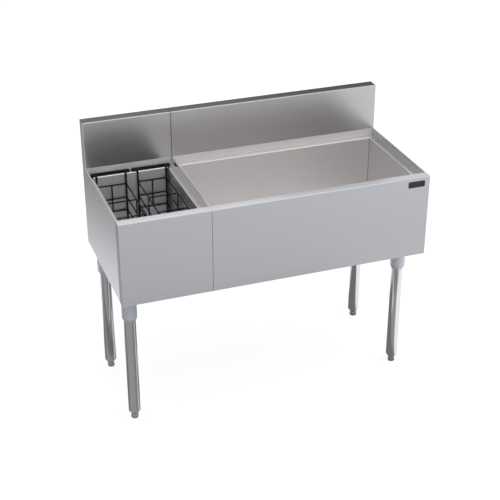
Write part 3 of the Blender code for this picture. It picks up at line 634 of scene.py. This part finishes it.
def make_liner(module):
    """A pan with a round-bent floor and mouth and a ledge round it, of one thickness of sheet."""
    node = module["name"] + "_liner"
    node_low, node_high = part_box(node)
    low_x, high_x, low_y, high_y = mouth(module)

    def mouth_loop(outset, height):
        radius = max(LINER_CORNER + outset, LINER_CORNER)
        points = rounded_rectangle(low_x - outset, high_x + outset, low_y - outset,
                                   high_y + outset, radius)
        return [(x, y, height) for x, y in points]

    def flange_loop(height):
        points = rounded_rectangle(node_low.x, node_high.x, node_low.y, node_high.y, CORNER_BEND)
        return [(x, y, height) for x, y in points]

    def skin(thick):
        section = arc(-FLOOR_BEND, FLOOR + FLOOR_BEND, FLOOR_BEND + thick, -90, 0)
        section += arc(MOUTH_BEND, LEDGE - MOUTH_BEND, MOUTH_BEND - thick, 180, 90)
        return [mouth_loop(outset, up) for outset, up in section] + [flange_loop(LEDGE - thick)]

    liner = to_object(node + "_fine", loft_shape(skin(0.0) + skin(SHEET)[::-1]))
    hole = rod_shape(drain_centre(module), DRAIN_SHANK + GAP, FLOOR - OVERRUN, FLOOR + OVERRUN,
                     DRAIN_HOLE_SIDES)
    boolean(liner, [to_object("hole", hole)], "DIFFERENCE")
    smooth(liner)
    wall, side = (well_steel, well_side_steel) if module is WELL else (liner_steel, bin_side_painted_shade_steel)
    finish_piece(liner, node, (wall, ledge_painted_light_steel, side, seam_painted_shade_steel))
    for face in liner.data.polygons:
        spot = face.center
        from_side = min(abs(spot.x - low_x), abs(spot.x - high_x))
        from_end = min(abs(spot.y - low_y), abs(spot.y - high_y))
        # The ledge and the top of the mouth bend: painted light.
        if spot.z > LEDGE - MOUTH_BEND:
            face.material_index = 1
        # Tight upright corners of the liner: painted shadow.
        elif max(from_side, from_end) < LINER_CORNER and abs(face.normal.z) < SEAM_NORMAL:
            face.material_index = 3
        # Side walls: in the bin a darker copy, painted shade; in the well a glossier one.
        elif abs(face.normal.x) > WALL_NORMAL:
            face.material_index = 2


for module in (WELL, BIN):
    make_fascia(module)
    make_splash(module)
    make_liner(module)
make_end_panel("left_end_panel", LEFT, 1, END_HEM, end_steel)
make_end_panel("divider_panel", divider_low.x, 1, divider_high.x - divider_low.x, divider_steel)
make_end_panel("right_end_panel", RIGHT, -1, END_HEM, end_steel)

# ---------------------------- drains
STRAINER_EDGE = 0.0002
STRAINER_HOLE, STRAINER_HOLES, STRAINER_HOLE_SIDES = 0.0021, 6, 20
STRAINER_RING = 0.62  # where the ring of holes lies, as a share of the radius


def make_drain_body(node, centre, seat):
    low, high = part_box(node)
    top = high.z
    flange_low = top - DRAIN_THICK
    profile = [(DRAIN_BORE, low.z), (DRAIN_SHANK, low.z), (DRAIN_SHANK, flange_low),
               (DRAIN_FLANGE, flange_low)]
    profile += arc(DRAIN_FLANGE - DRAIN_THICK, flange_low, DRAIN_THICK, 15, 90, 5)
    profile += [(DRAIN_SEAT + DRAIN_LIP, top), (DRAIN_SEAT, top - DRAIN_LIP), (DRAIN_SEAT, seat),
                (DRAIN_BORE, seat)]
    body = to_object(node + "_fine", turned_shape(profile, centre, DRAIN_SIDES))
    smooth(body, TURNED_ANGLE)
    finish_piece(body, node, (drain_plate,))


def make_strainer(node, centre, body):
    low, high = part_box(node)
    radius, edge = (high.x - low.x) / 2, STRAINER_EDGE
    profile = [(0, low.z), (radius - edge, low.z), (radius, low.z + edge),
               (radius, high.z - edge), (radius - edge, high.z), (0, high.z)]
    disc = to_object(node + "_fine", turned_shape(profile, centre, DRAIN_SIDES))
    places = [centre]
    for index in range(STRAINER_HOLES):
        angle = 2 * math.pi * index / STRAINER_HOLES
        places.append((centre[0] + STRAINER_RING * radius * math.cos(angle),
                       centre[1] + STRAINER_RING * radius * math.sin(angle)))
    holes = [rod_shape(place, STRAINER_HOLE, low.z - OVERRUN, high.z + OVERRUN,
                       STRAINER_HOLE_SIDES) for place in places]
    boolean(disc, [to_object("hole" + str(index), hole) for index, hole in enumerate(holes)],
            "DIFFERENCE")
    smooth(disc)
    finish_piece(disc, node, (strainer_steel,), body)


for module in (WELL, BIN):
    strainer = module["name"] + "_drain_strainer"
    make_drain_body(module["name"] + "_drain_body", drain_centre(module),
                    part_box(strainer)[0].z - GAP)
    make_strainer(strainer, drain_centre(module), module["name"] + "_strainer")

# ---------------------------- legs
SOCKET_RADIUS, SOCKET_TAPER, SOCKET_BEND = 0.0253, 0.0089, 0.0012
SOCKET_FLANGE, SOCKET_CROWN = 0.0035, 0.0040
SOCKET_FIT, SOCKET_LIP = 0.0004, 0.0006
SCREW_HOLE, SCREW_HOLE_DEPTH, SCREW_HOLE_PAST = 0.0043, 0.0010, 0.0060
RECESS_SHARE, RECESS_DEPTH, RECESS_PAST = 0.52, 0.0025, 0.0020
TUBE_RADIUS, TUBE_WALL = 0.0202, 0.0015
INSERT_TIP, INSERT_STEP = 0.0127, 0.0005
TURNED_BEND = 0.0010
TURNED_SIDES, TUBE_SIDES, BOUND_SIDES, SCREW_SIDES, SCREW_HOLE_SIDES = 64, 96, 72, 32, 28
STEM_RADIUS, STEM_ROOT_SHARE, STEM_OVERLAP = 0.0063, 0.9, 0.0004
THREAD_PITCH, THREAD_DEPTH = 0.0023, 0.0007
THREAD_SIDES, THREAD_LEVELS = 32, 8  # round a turn, and up a turn
RUN_IN, RUN_OUT, RUN_DEPTH = 0.0010, 0.0020, 0.0010
HEX_RADIUS, SOLE_RADIUS, NECK_RADIUS = 0.0132, 0.0112, 0.0106
COLLAR_LOW, COLLAR_TOP = 0.0035, 0.0140
CHAMFER_DROP, CHAMFER_SHARE, CHAMFER_PAST = 0.0010, 0.91, 0.0020
FOOT_TURNS = {
    "front_left": -127.0, "front_right": -113.0, "back_left": -95.0, "back_right": -140.0,
}


def leg_centre(corner):
    low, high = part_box("leg_tube_" + corner)
    return (low.x + high.x) / 2, (low.y + high.y) / 2


def turned_piece(node, profile, bend, centre, sides, material):
    """A turned piece that stands for a node, with its marked corners rounded."""
    item = to_object(node + "_fine", turned_shape(fillet(profile, bend), centre, sides))
    smooth(item, TURNED_ANGLE)
    finish_piece(item, node, (material,))


def make_socket(corner, centre):
    """A cast cup with a tapered mouth, a flange and a hole for the set screw."""
    node = "leg_socket_" + corner
    low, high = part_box(node)
    flange, flange_low = (high.x - low.x) / 2, high.z - SOCKET_FLANGE
    bore, bore_top = TUBE_RADIUS + SOCKET_FIT, high.z - SOCKET_CROWN
    profile = [
        ((0, bore_top), 0), ((bore, bore_top), 0), ((bore, low.z), 0),
        ((bore + SOCKET_LIP, low.z), 0.5), ((SOCKET_RADIUS, low.z + SOCKET_TAPER), 0.8),
        ((SOCKET_RADIUS, flange_low), 0.6), ((flange, flange_low), 0.8), ((flange, high.z), 0.5),
        ((0, high.z), 0),
    ]
    socket = to_object(node + "_fine",
                       turned_shape(fillet(profile, SOCKET_BEND), centre, TUBE_SIDES))
    screw_low, screw_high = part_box("set_screw_" + corner)
    middle = (screw_low + screw_high) / 2
    inner_end = (middle.x, centre[1] + TUBE_RADIUS - SCREW_HOLE_DEPTH, middle.z)
    outer_end = (middle.x, screw_high.y + SCREW_HOLE_PAST, middle.z)
    hole = sweep_shape([inner_end, outer_end], SCREW_HOLE, SCREW_HOLE_SIDES, dome=False)
    boolean(socket, [to_object("hole", hole)], "DIFFERENCE")
    smooth(socket, TURNED_ANGLE)
    finish_piece(socket, node, (socket_cast,))


def make_set_screw(corner):
    """A round grub screw with a hexagon recess."""
    node = "set_screw_" + corner
    low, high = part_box(node)
    middle = (low + high) / 2
    radius = (high.z - low.z) / 2

    def along(*places):
        return [(middle.x, y, middle.z) for y in places]

    screw = to_object(node + "_fine", sweep_shape(along(low.y, high.y), radius, SCREW_SIDES))
    recess = sweep_shape(along(high.y - RECESS_DEPTH, high.y + RECESS_PAST),
                         radius * RECESS_SHARE, 6, dome=False)
    boolean(screw, [to_object("recess", recess)], "DIFFERENCE")
    smooth(screw, TURNED_ANGLE)
    finish_piece(screw, node, (foot_cast,))


def make_leg(corner):
    centre = leg_centre(corner)
    make_socket(corner, centre)
    make_set_screw(corner)
    tube, insert = "leg_tube_" + corner, "foot_insert_" + corner
    low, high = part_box(tube)
    inner = TUBE_RADIUS - TUBE_WALL
    cone_top = low.z - GAP
    profile = [((inner, low.z), 0), ((TUBE_RADIUS, low.z), 0.6), ((TUBE_RADIUS, high.z), 0.4),
               ((inner, high.z), 0)]
    turned_piece(tube, profile, TURNED_BEND, centre, TUBE_SIDES, tube_steel)
    low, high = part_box(insert)
    thread, plug = STEM_RADIUS + GAP, inner - GAP
    profile = [
        ((thread, low.z), 0), ((INSERT_TIP, low.z), 0.7),
        ((TUBE_RADIUS - INSERT_STEP, cone_top), 0.7), ((plug, cone_top), 0),
        ((plug, high.z), 0.5), ((thread, high.z), 0),
    ]
    turned_piece(insert, profile, TURNED_BEND, centre, TURNED_SIDES, foot_cast)
    make_foot(corner, centre, low.z - GAP)


def thread_shape(centre, low, high):
    """A threaded rod: its radius follows the helix, and both ends run out plain."""
    loops = []
    count = int(round((high - low) / THREAD_PITCH * THREAD_LEVELS))
    for level in range(count + 1):
        height = low + (high - low) * level / count
        run_out = max(min(1.0, (height - low) / RUN_IN, (high - height) / RUN_OUT), 0.0)
        loop = []
        for side in range(THREAD_SIDES):
            turn = side / THREAD_SIDES
            phase = ((height - low) / THREAD_PITCH - turn) % 1.0
            radius = STEM_RADIUS - THREAD_DEPTH * abs(2 * phase - 1) - RUN_DEPTH * (1 - run_out)
            angle = 2 * math.pi * turn
            loop.append((centre[0] + radius * math.cos(angle),
                         centre[1] + radius * math.sin(angle), height))
        loops.append(loop)
    return loft_shape(loops)


def make_foot(corner, centre, shoulder):
    """Hexagon foot with a turned-off sole and a round neck, and a stem with its thread cut."""
    node = "foot_" + corner
    low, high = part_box(node)
    body = to_object(node + "_fine", rod_shape(centre, HEX_RADIUS, low.z, COLLAR_TOP, 6,
                                               FOOT_TURNS[corner]))
    chamfer = [(0, -CHAMFER_PAST), (SOLE_RADIUS, -CHAMFER_PAST), (SOLE_RADIUS, 0.0),
               (HEX_RADIUS, COLLAR_LOW), (HEX_RADIUS, COLLAR_TOP - CHAMFER_DROP),
               (HEX_RADIUS * CHAMFER_SHARE, COLLAR_TOP), (0, COLLAR_TOP + CHAMFER_PAST)]
    boolean(body, [to_object("bound", turned_shape(chamfer, centre, BOUND_SIDES))], "INTERSECT")
    root, root_top = STEM_RADIUS * STEM_ROOT_SHARE, shoulder + 2 * STEM_OVERLAP
    neck = [((0, COLLAR_LOW), 0), ((NECK_RADIUS, COLLAR_LOW), 0), ((NECK_RADIUS, shoulder), 0.8),
            ((root, shoulder), 0), ((root, root_top), 0), ((0, root_top), 0)]
    neck = to_object("neck", turned_shape(fillet(neck, TURNED_BEND), centre, TURNED_SIDES))
    boolean(body, [neck], "UNION")
    stem = to_object("stem", thread_shape(centre, shoulder + STEM_OVERLAP, high.z))
    shape = bmesh.new()
    shape.from_mesh(body.data)
    shape.from_mesh(stem.data)
    shape.to_mesh(body.data)
    shape.free()
    remove(stem)
    smooth(body, TURNED_ANGLE)
    finish_piece(body, node, (foot_cast,), node)


for corner in FOOT_TURNS:
    make_leg(corner)

# ---------------------------- wire baskets
BAR_RADIUS, WIRE_RADIUS, UPRIGHT_RADIUS = 0.0032, 0.0024, 0.0022
WIRE_SIDES = 14
BASKET_WIDTH = 0.1010
BASKET_END_CLEARANCE = 0.0038
FIRST_LEVEL_DROP, BASKET_DROP = 0.0368, 0.1847
LEVEL_SHARES = (0.0, 0.350, 0.665, 1.0)
DIVIDER_SHARES = (0.301, 0.627)
GRID_SHARES = (0.25, 0.5, 0.75)
HANGER_INNER_BEND, HANGER_REACH, HANGER_CLEARANCE = 0.0012, 0.0160, 0.0014


def fuse_wires(node, paths, body):
    """One welded piece from wires given as (points, radius)."""
    items = []
    for index, (points, radius) in enumerate(paths):
        name = "wire" + str(index) if index else node + "_fine"
        items.append(to_object(name, sweep_shape(points, radius, WIRE_SIDES)))
    boolean(items[0], items[1:], "UNION")
    smooth(items[0], WIRE_ANGLE)
    finish_piece(items[0], node, (wire_coat,), body)


def hanger_path(low_x, high_x, y, bar_y, foot):
    """A frame's bar: up one side, out over the ledge, along it, and back down the other side."""
    outward = math.copysign(1, bar_y - y)
    hang = LEDGE + GAP + BAR_RADIUS
    bend = BAR_RADIUS + HANGER_INNER_BEND
    step_y = y + outward * (2 * bend + BAR_RADIUS / 2)
    near_x, far_x = low_x - HANGER_REACH, high_x + HANGER_REACH
    corners = [(low_x, y, foot), (low_x, y, hang), (low_x, step_y, hang), (near_x, step_y, hang),
               (near_x, bar_y, hang), (far_x, bar_y, hang), (far_x, step_y, hang),
               (high_x, step_y, hang), (high_x, y, hang), (high_x, y, foot)]
    loop = abs(bar_y - step_y) / 2
    bends = [bend, bend, loop, loop]
    return bent_path(corners, bends + bends[::-1])


def make_basket(prefix):
    side_low, side_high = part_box(prefix + "_left_side")
    low_x = (side_low.x + side_high.x) / 2
    high_x = low_x + BASKET_WIDTH
    middle = (low_x + high_x) / 2
    front, back = MOUTH_FRONT + BASKET_END_CLEARANCE, MOUTH_BACK - BASKET_END_CLEARANCE
    span = BASKET_DROP - FIRST_LEVEL_DROP
    levels = [LEDGE - FIRST_LEVEL_DROP - span * share for share in LEVEL_SHARES]
    top, bottom = levels[0], levels[-1]
    dividers = [front + (back - front) * share for share in DIVIDER_SHARES]
    inset, overlap = BAR_RADIUS + HANGER_CLEARANCE, WIRE_RADIUS / 2

    def across(y, level, clear=0.0):
        return [(low_x + clear, y, level), (high_x - clear, y, level)]

    def along(x, level, clear):
        return [(x, front + clear, level), (x, back - clear, level)]

    def upright(x, y, low):
        return [(x, y, low - overlap), (x, y, top + overlap)]

    for end, y, bar_y in (("back", back, SPLASH_FACE - inset), ("front", front, RIM_BACK + inset)):
        hanger = hanger_path(low_x, high_x, y, bar_y, bottom - BAR_RADIUS)
        paths = [(hanger, BAR_RADIUS)] + [(across(y, level), WIRE_RADIUS) for level in levels]
        paths.append((upright(middle, y, levels[2]), UPRIGHT_RADIUS))
        fuse_wires(prefix + "_" + end + "_frame", paths, prefix)
    for side, x in (("left", low_x), ("right", high_x)):
        paths = [(along(x, level, BAR_RADIUS + GAP), WIRE_RADIUS) for level in levels]
        paths += [(upright(x, y, bottom), UPRIGHT_RADIUS) for y in dividers]
        fuse_wires(prefix + "_" + side + "_side", paths, prefix)
    clear = WIRE_RADIUS + GAP
    for place, y in zip(("front", "back"), dividers):
        fuse_wires(prefix + "_" + place + "_cross_wire", [(across(y, top, clear), WIRE_RADIUS)],
                   prefix)
    paths = [(along(low_x + BASKET_WIDTH * share, bottom, clear), WIRE_RADIUS)
             for share in GRID_SHARES]
    paths += [(across(y, bottom - WIRE_RADIUS / 2, clear), UPRIGHT_RADIUS) for y in dividers]
    fuse_wires(prefix + "_bottom_grid", paths, prefix)


make_basket("left_basket")
make_basket("right_basket")

# ---------------------------- nameplate
PLATE_CORNER, PLATE_EDGE = 0.0040, 0.0003

low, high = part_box("nameplate")
outline = rounded_rectangle(low.x, high.x, low.z, high.z, PLATE_CORNER)
plate = to_object("nameplate_fine", prism_shape(outline, "Y", low.y, high.y))
soften(plate, PLATE_EDGE, 3)
smooth(plate)
finish_piece(plate, "nameplate", (plate_black,))

# ---------------------------- frame nodes that stay
KEPT = {
    "rear_panel": sheet_steel, "bottom_pan": sheet_steel, "leg_channel": sheet_steel,
    "insulation": foam, "drain_gasket": rubber, "drain_locknut": drain_plate,
}
for name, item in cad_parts.items():
    for word, material in KEPT.items():
        if word in name:
            if not item.material_slots:
                item.data.materials.append(material)
            for slot in item.material_slots:
                slot.material = material

# ---------------------------- stage
FLOOR_HALF = 9.0
PAPER, LIT_PAPER, PAPER_GLOW = 0.76, 0.30, 0.78  # to diffuse rays, and to those that see it
ROOM_COLOUR, ROOM_STRENGTH = (0.97, 0.98, 1.0, 1), 0.80

FLOOR_FLAG_HALF, FLOOR_FLAG_HEIGHT, FLOOR_FLAG_GREY = 3.0, 0.001, 0.16
TOP_FLAG_HALF, TOP_FLAG_BEHIND, TOP_FLAG_GREY = 0.62, 0.020, 0.05
TOP_FLAG_LOW, TOP_FLAG_HIGH = -0.010, 0.060  # from the top of the backsplash
TOP_FLAG_RAMP = (-0.60, 0.60, 0.86, 0.94)  # from X, to X, and the densities there

# The floor flag paints dark reflections into the legs and sheets; its light slits paint a
# highlight streak on each left leg.
# Patches of the floor flag: low, high and softness in X, and then in Y.
LEGS_PATCH = (-1.40, 0.50, 0.05, -0.84, 0.33, 0.12)
UNDER_PATCH = (0.00, 0.45, 0.12, -0.22, 0.33, 0.08)
FAR_PATCH = (-2.80, -1.35, 0.10, -0.80, 0.33, 0.12)
BASE_DEPTH, DARK_DEPTH, BAND_DEPTH, SLIT_DEPTH, FAR_DEPTH = 0.78, 0.17, 0.10, 0.42, 0.62
BACK_SPAN, BACK_FADE = (-0.46, 0.10, 0.05), (0.20, 0.30, 0.0, 0.60)
# Sectors seen from a left leg: two directions in degrees from +X, and their softness.
DARK_SECTOR, DARK_SOFT = (60, 168, 12), 0.06
SLIT_SECTOR, SLIT_START, SLIT_SOFT = (-24, -7, 6), -0.49, 0.07
BAND_SECTOR = (-68, -50, 8)
# Each left leg, with where its dark sector ends in Y and its light slit in X.
LEFT_LEGS = (("front_left", 0.05, 0.10), ("back_left", 0.33, -0.14))
# The part in front of the station fades with the distance from a place.
FRONT_PLACE, FRONT_DEPTH, FRONT_FALL = (-0.6, -0.7), 0.44, 0.085
FRONT_FADE = (-0.8, -0.6, 1.0, 0.0)
# The part behind it rises from a slanted line.
BEHIND_PLACE, BEHIND_SLOPE, BEHIND_MOST = (-0.73, 0.66), (1.85, 0.50), 0.80
BEHIND_FADE = (0.50, 0.75, 0.0, 1.0)


def seen_rays(tree):
    """1 for the rays that show the background: to the eye, in metal and through glass."""
    path = tree.nodes.new("ShaderNodeLightPath")
    seen = calc(tree, "MAXIMUM", path.outputs["Is Camera Ray"], path.outputs["Is Glossy Ray"])
    return calc(tree, "MAXIMUM", seen, path.outputs["Is Transmission Ray"])


def stage_sheet(name, corners):
    """A flat four-cornered stage object with an empty material of its own."""
    shape = bmesh.new()
    shape.faces.new([shape.verts.new(corner) for corner in corners])
    sheet = to_object(name, shape)
    material = bpy.data.materials.new(name)
    material.use_nodes = True
    tree = material.node_tree
    tree.nodes.clear()
    sheet.data.materials.append(material)
    return sheet, tree, tree.nodes.new("ShaderNodeOutputMaterial")


def level_square(half, height):
    return [(-half, -half, height), (half, -half, height), (half, half, height),
            (-half, half, height)]


def grey_shader(tree, kind, grey):
    shader = tree.nodes.new(kind)
    shader.inputs["Color"].default_value = (grey, grey, grey, 1)
    return shader


def stage_floor():
    """Pale paper that reads white and keeps the shadow."""
    _, tree, out = stage_sheet("floor", level_square(FLOOR_HALF, 0))
    paper = grey_shader(tree, "ShaderNodeBsdfDiffuse", PAPER)
    lit = grey_shader(tree, "ShaderNodeBsdfDiffuse", LIT_PAPER)
    glow = tree.nodes.new("ShaderNodeEmission")
    glow.inputs["Strength"].default_value = PAPER_GLOW
    white = tree.nodes.new("ShaderNodeAddShader")
    tree.links.new(lit.outputs[0], white.inputs[0])
    tree.links.new(glow.outputs[0], white.inputs[1])
    mix_shaders(tree, seen_rays(tree), paper, white, out)


def stage_flag(name, corners, grey, cover):
    """A glowing grey sheet that only reflections show: painted dark reflections. cover(tree, x, y)
    is its density.
    """
    sheet, tree, out = stage_sheet(name, corners)
    sheet.visible_camera = False
    sheet.visible_diffuse = False
    sheet.visible_transmission = False
    sheet.visible_shadow = False
    place = tree.nodes.new("ShaderNodeSeparateXYZ")
    here = tree.nodes.new("ShaderNodeTexCoord")
    tree.links.new(here.outputs["Object"], place.inputs["Vector"])
    cloth = grey_shader(tree, "ShaderNodeEmission", grey)
    clear = tree.nodes.new("ShaderNodeBsdfTransparent")
    mix_shaders(tree, cover(tree, place.outputs["X"], place.outputs["Y"]), clear, cloth, out)


def floor_cover(tree, x, y):
    """Painted dark reflections round the legs, fading towards the front, and towards the back at
    the far left.
    """
    def plus(first, second):
        return calc(tree, "ADD", first, second)

    def minus(first, second, clamp=False):
        return calc(tree, "SUBTRACT", first, second, clamp)

    def times(first, second):
        return calc(tree, "MULTIPLY", first, second)

    def most(first, second):
        return calc(tree, "MAXIMUM", first, second)

    def patch(sizes):
        return times(reach(tree, x, *sizes[:3]), reach(tree, y, *sizes[3:]))

    def sector(centre, low, high, soft):
        angle = calc(tree, "ARCTAN2", minus(y, centre[1]), minus(x, centre[0]))
        return reach(tree, angle, math.radians(low), math.radians(high), math.radians(soft))

    dark, slit, band = 0.0, 0.0, 0.0
    for corner, back_end, slit_end in LEFT_LEGS:
        centre = leg_centre(corner)
        behind_leg = reach(tree, y, centre[1], back_end, DARK_SOFT)
        dark = most(dark, times(sector(centre, *DARK_SECTOR), behind_leg))
        beside = reach(tree, x, SLIT_START, slit_end, SLIT_SOFT)
        slit = most(slit, times(sector(centre, *SLIT_SECTOR), beside))
        band = most(band, sector(centre, *BAND_SECTOR))
    depth = plus(BASE_DEPTH, times(most(patch(UNDER_PATCH), dark), DARK_DEPTH))
    depth = minus(plus(depth, times(band, BAND_DEPTH)), times(slit, SLIT_DEPTH))
    back = times(reach(tree, x, *BACK_SPAN), ease(tree, y, *BACK_FADE))
    legs = times(patch(LEGS_PATCH), minus(depth, back))
    legs = most(legs, times(patch(FAR_PATCH), FAR_DEPTH))

    away_x, away_y = minus(x, FRONT_PLACE[0]), minus(y, FRONT_PLACE[1])
    away = calc(tree, "SQRT", plus(times(away_x, away_x), times(away_y, away_y)), 0.0)
    front = minus(FRONT_DEPTH, times(away, FRONT_FALL), clamp=True)
    front = times(front, ease(tree, y, *FRONT_FADE))

    rise = times(minus(y, BEHIND_PLACE[1]), BEHIND_SLOPE[1])
    behind = minus(rise, times(minus(x, BEHIND_PLACE[0]), BEHIND_SLOPE[0]), clamp=True)
    behind = times(behind, ease(tree, y, *BEHIND_FADE))
    return most(most(legs, front), calc(tree, "MINIMUM", behind, BEHIND_MOST))


def top_cover(tree, x, y):
    """Painted dark reflection in the top of the backsplash, denser towards the right."""
    return ease(tree, x, *TOP_FLAG_RAMP)


def stage_world():
    """White to the eye, in metal and through glass; a soft even room for everything else."""
    world = bpy.data.worlds.new("studio")
    bpy.context.scene.world = world
    world.use_nodes = True
    tree = world.node_tree
    tree.nodes.clear()
    out = tree.nodes.new("ShaderNodeOutputWorld")
    room = tree.nodes.new("ShaderNodeBackground")
    room.inputs["Color"].default_value = ROOM_COLOUR
    room.inputs["Strength"].default_value = ROOM_STRENGTH
    white = tree.nodes.new("ShaderNodeBackground")
    white.inputs["Color"].default_value = (1, 1, 1, 1)
    white.inputs["Strength"].default_value = 1.0
    mix_shaders(tree, seen_rays(tree), room, white, out)


def stage_lamp(name, place, target, size, power, mirrored):
    data = bpy.data.lights.new(name, "AREA")
    data.shape = "RECTANGLE"
    data.size, data.size_y = size
    data.energy = power
    lamp = bpy.data.objects.new(name, data)
    lamp.location = place
    way = Vector(target) - Vector(place)
    lamp.rotation_euler = way.to_track_quat("-Z", "Y").to_euler()
    lamp.visible_glossy = mirrored
    lamp.visible_camera = False
    bpy.context.scene.collection.objects.link(lamp)


stage_floor()
stage_world()
stage_flag("floor_flag", level_square(FLOOR_FLAG_HALF, FLOOR_FLAG_HEIGHT), FLOOR_FLAG_GREY,
           floor_cover)
# The top flag paints a dark reflection into the top of the backsplash.
flag_y = SPLASH_BACK + TOP_FLAG_BEHIND
flag_low, flag_high = SPLASH_TOP + TOP_FLAG_LOW, SPLASH_TOP + TOP_FLAG_HIGH
stage_flag("top_flag", [(-TOP_FLAG_HALF, flag_y, flag_low), (TOP_FLAG_HALF, flag_y, flag_low),
                        (TOP_FLAG_HALF, flag_y, flag_high), (-TOP_FLAG_HALF, flag_y, flag_high)],
           TOP_FLAG_GREY, top_cover)
stage_lamp("key", (2.2, -2.0, 3.0), (0, 0, 0.4), (4.0, 4.0), 60.0, mirrored=False)
stage_lamp("back", (0.0, 2.3, 2.05), (0, 0, 0.75), (2.0, 1.3), 3.0, mirrored=True)
stage_lamp("top", (0.0, 0.2, 3.2), (0.0, 0.2, 0.7), (3.0, 1.6), 10.0, mirrored=True)

# ---------------------------- camera
CAMERA_PLACE = (-1.25126, -3.41646, 2.43302)
CAMERA_LENS, CAMERA_SENSOR = 85.47, 36
AZIMUTH, ELEVATION = math.radians(-19.87), math.radians(28.283)

back_way = Vector((math.sin(AZIMUTH) * math.cos(ELEVATION),
                   -math.cos(AZIMUTH) * math.cos(ELEVATION), math.sin(ELEVATION)))
right_way = Vector((0, 0, 1)).cross(back_way).normalized()
up_way = back_way.cross(right_way)
camera_data = bpy.data.cameras.new("camera")
camera_data.lens = CAMERA_LENS
camera_data.sensor_width = CAMERA_SENSOR
camera = bpy.data.objects.new("camera", camera_data)
camera.location = CAMERA_PLACE
camera.rotation_euler = Matrix((right_way, up_way, back_way)).transposed().to_euler()
bpy.context.scene.collection.objects.link(camera)
bpy.context.scene.camera = camera
bpy.context.scene.view_settings.view_transform = "Standard"
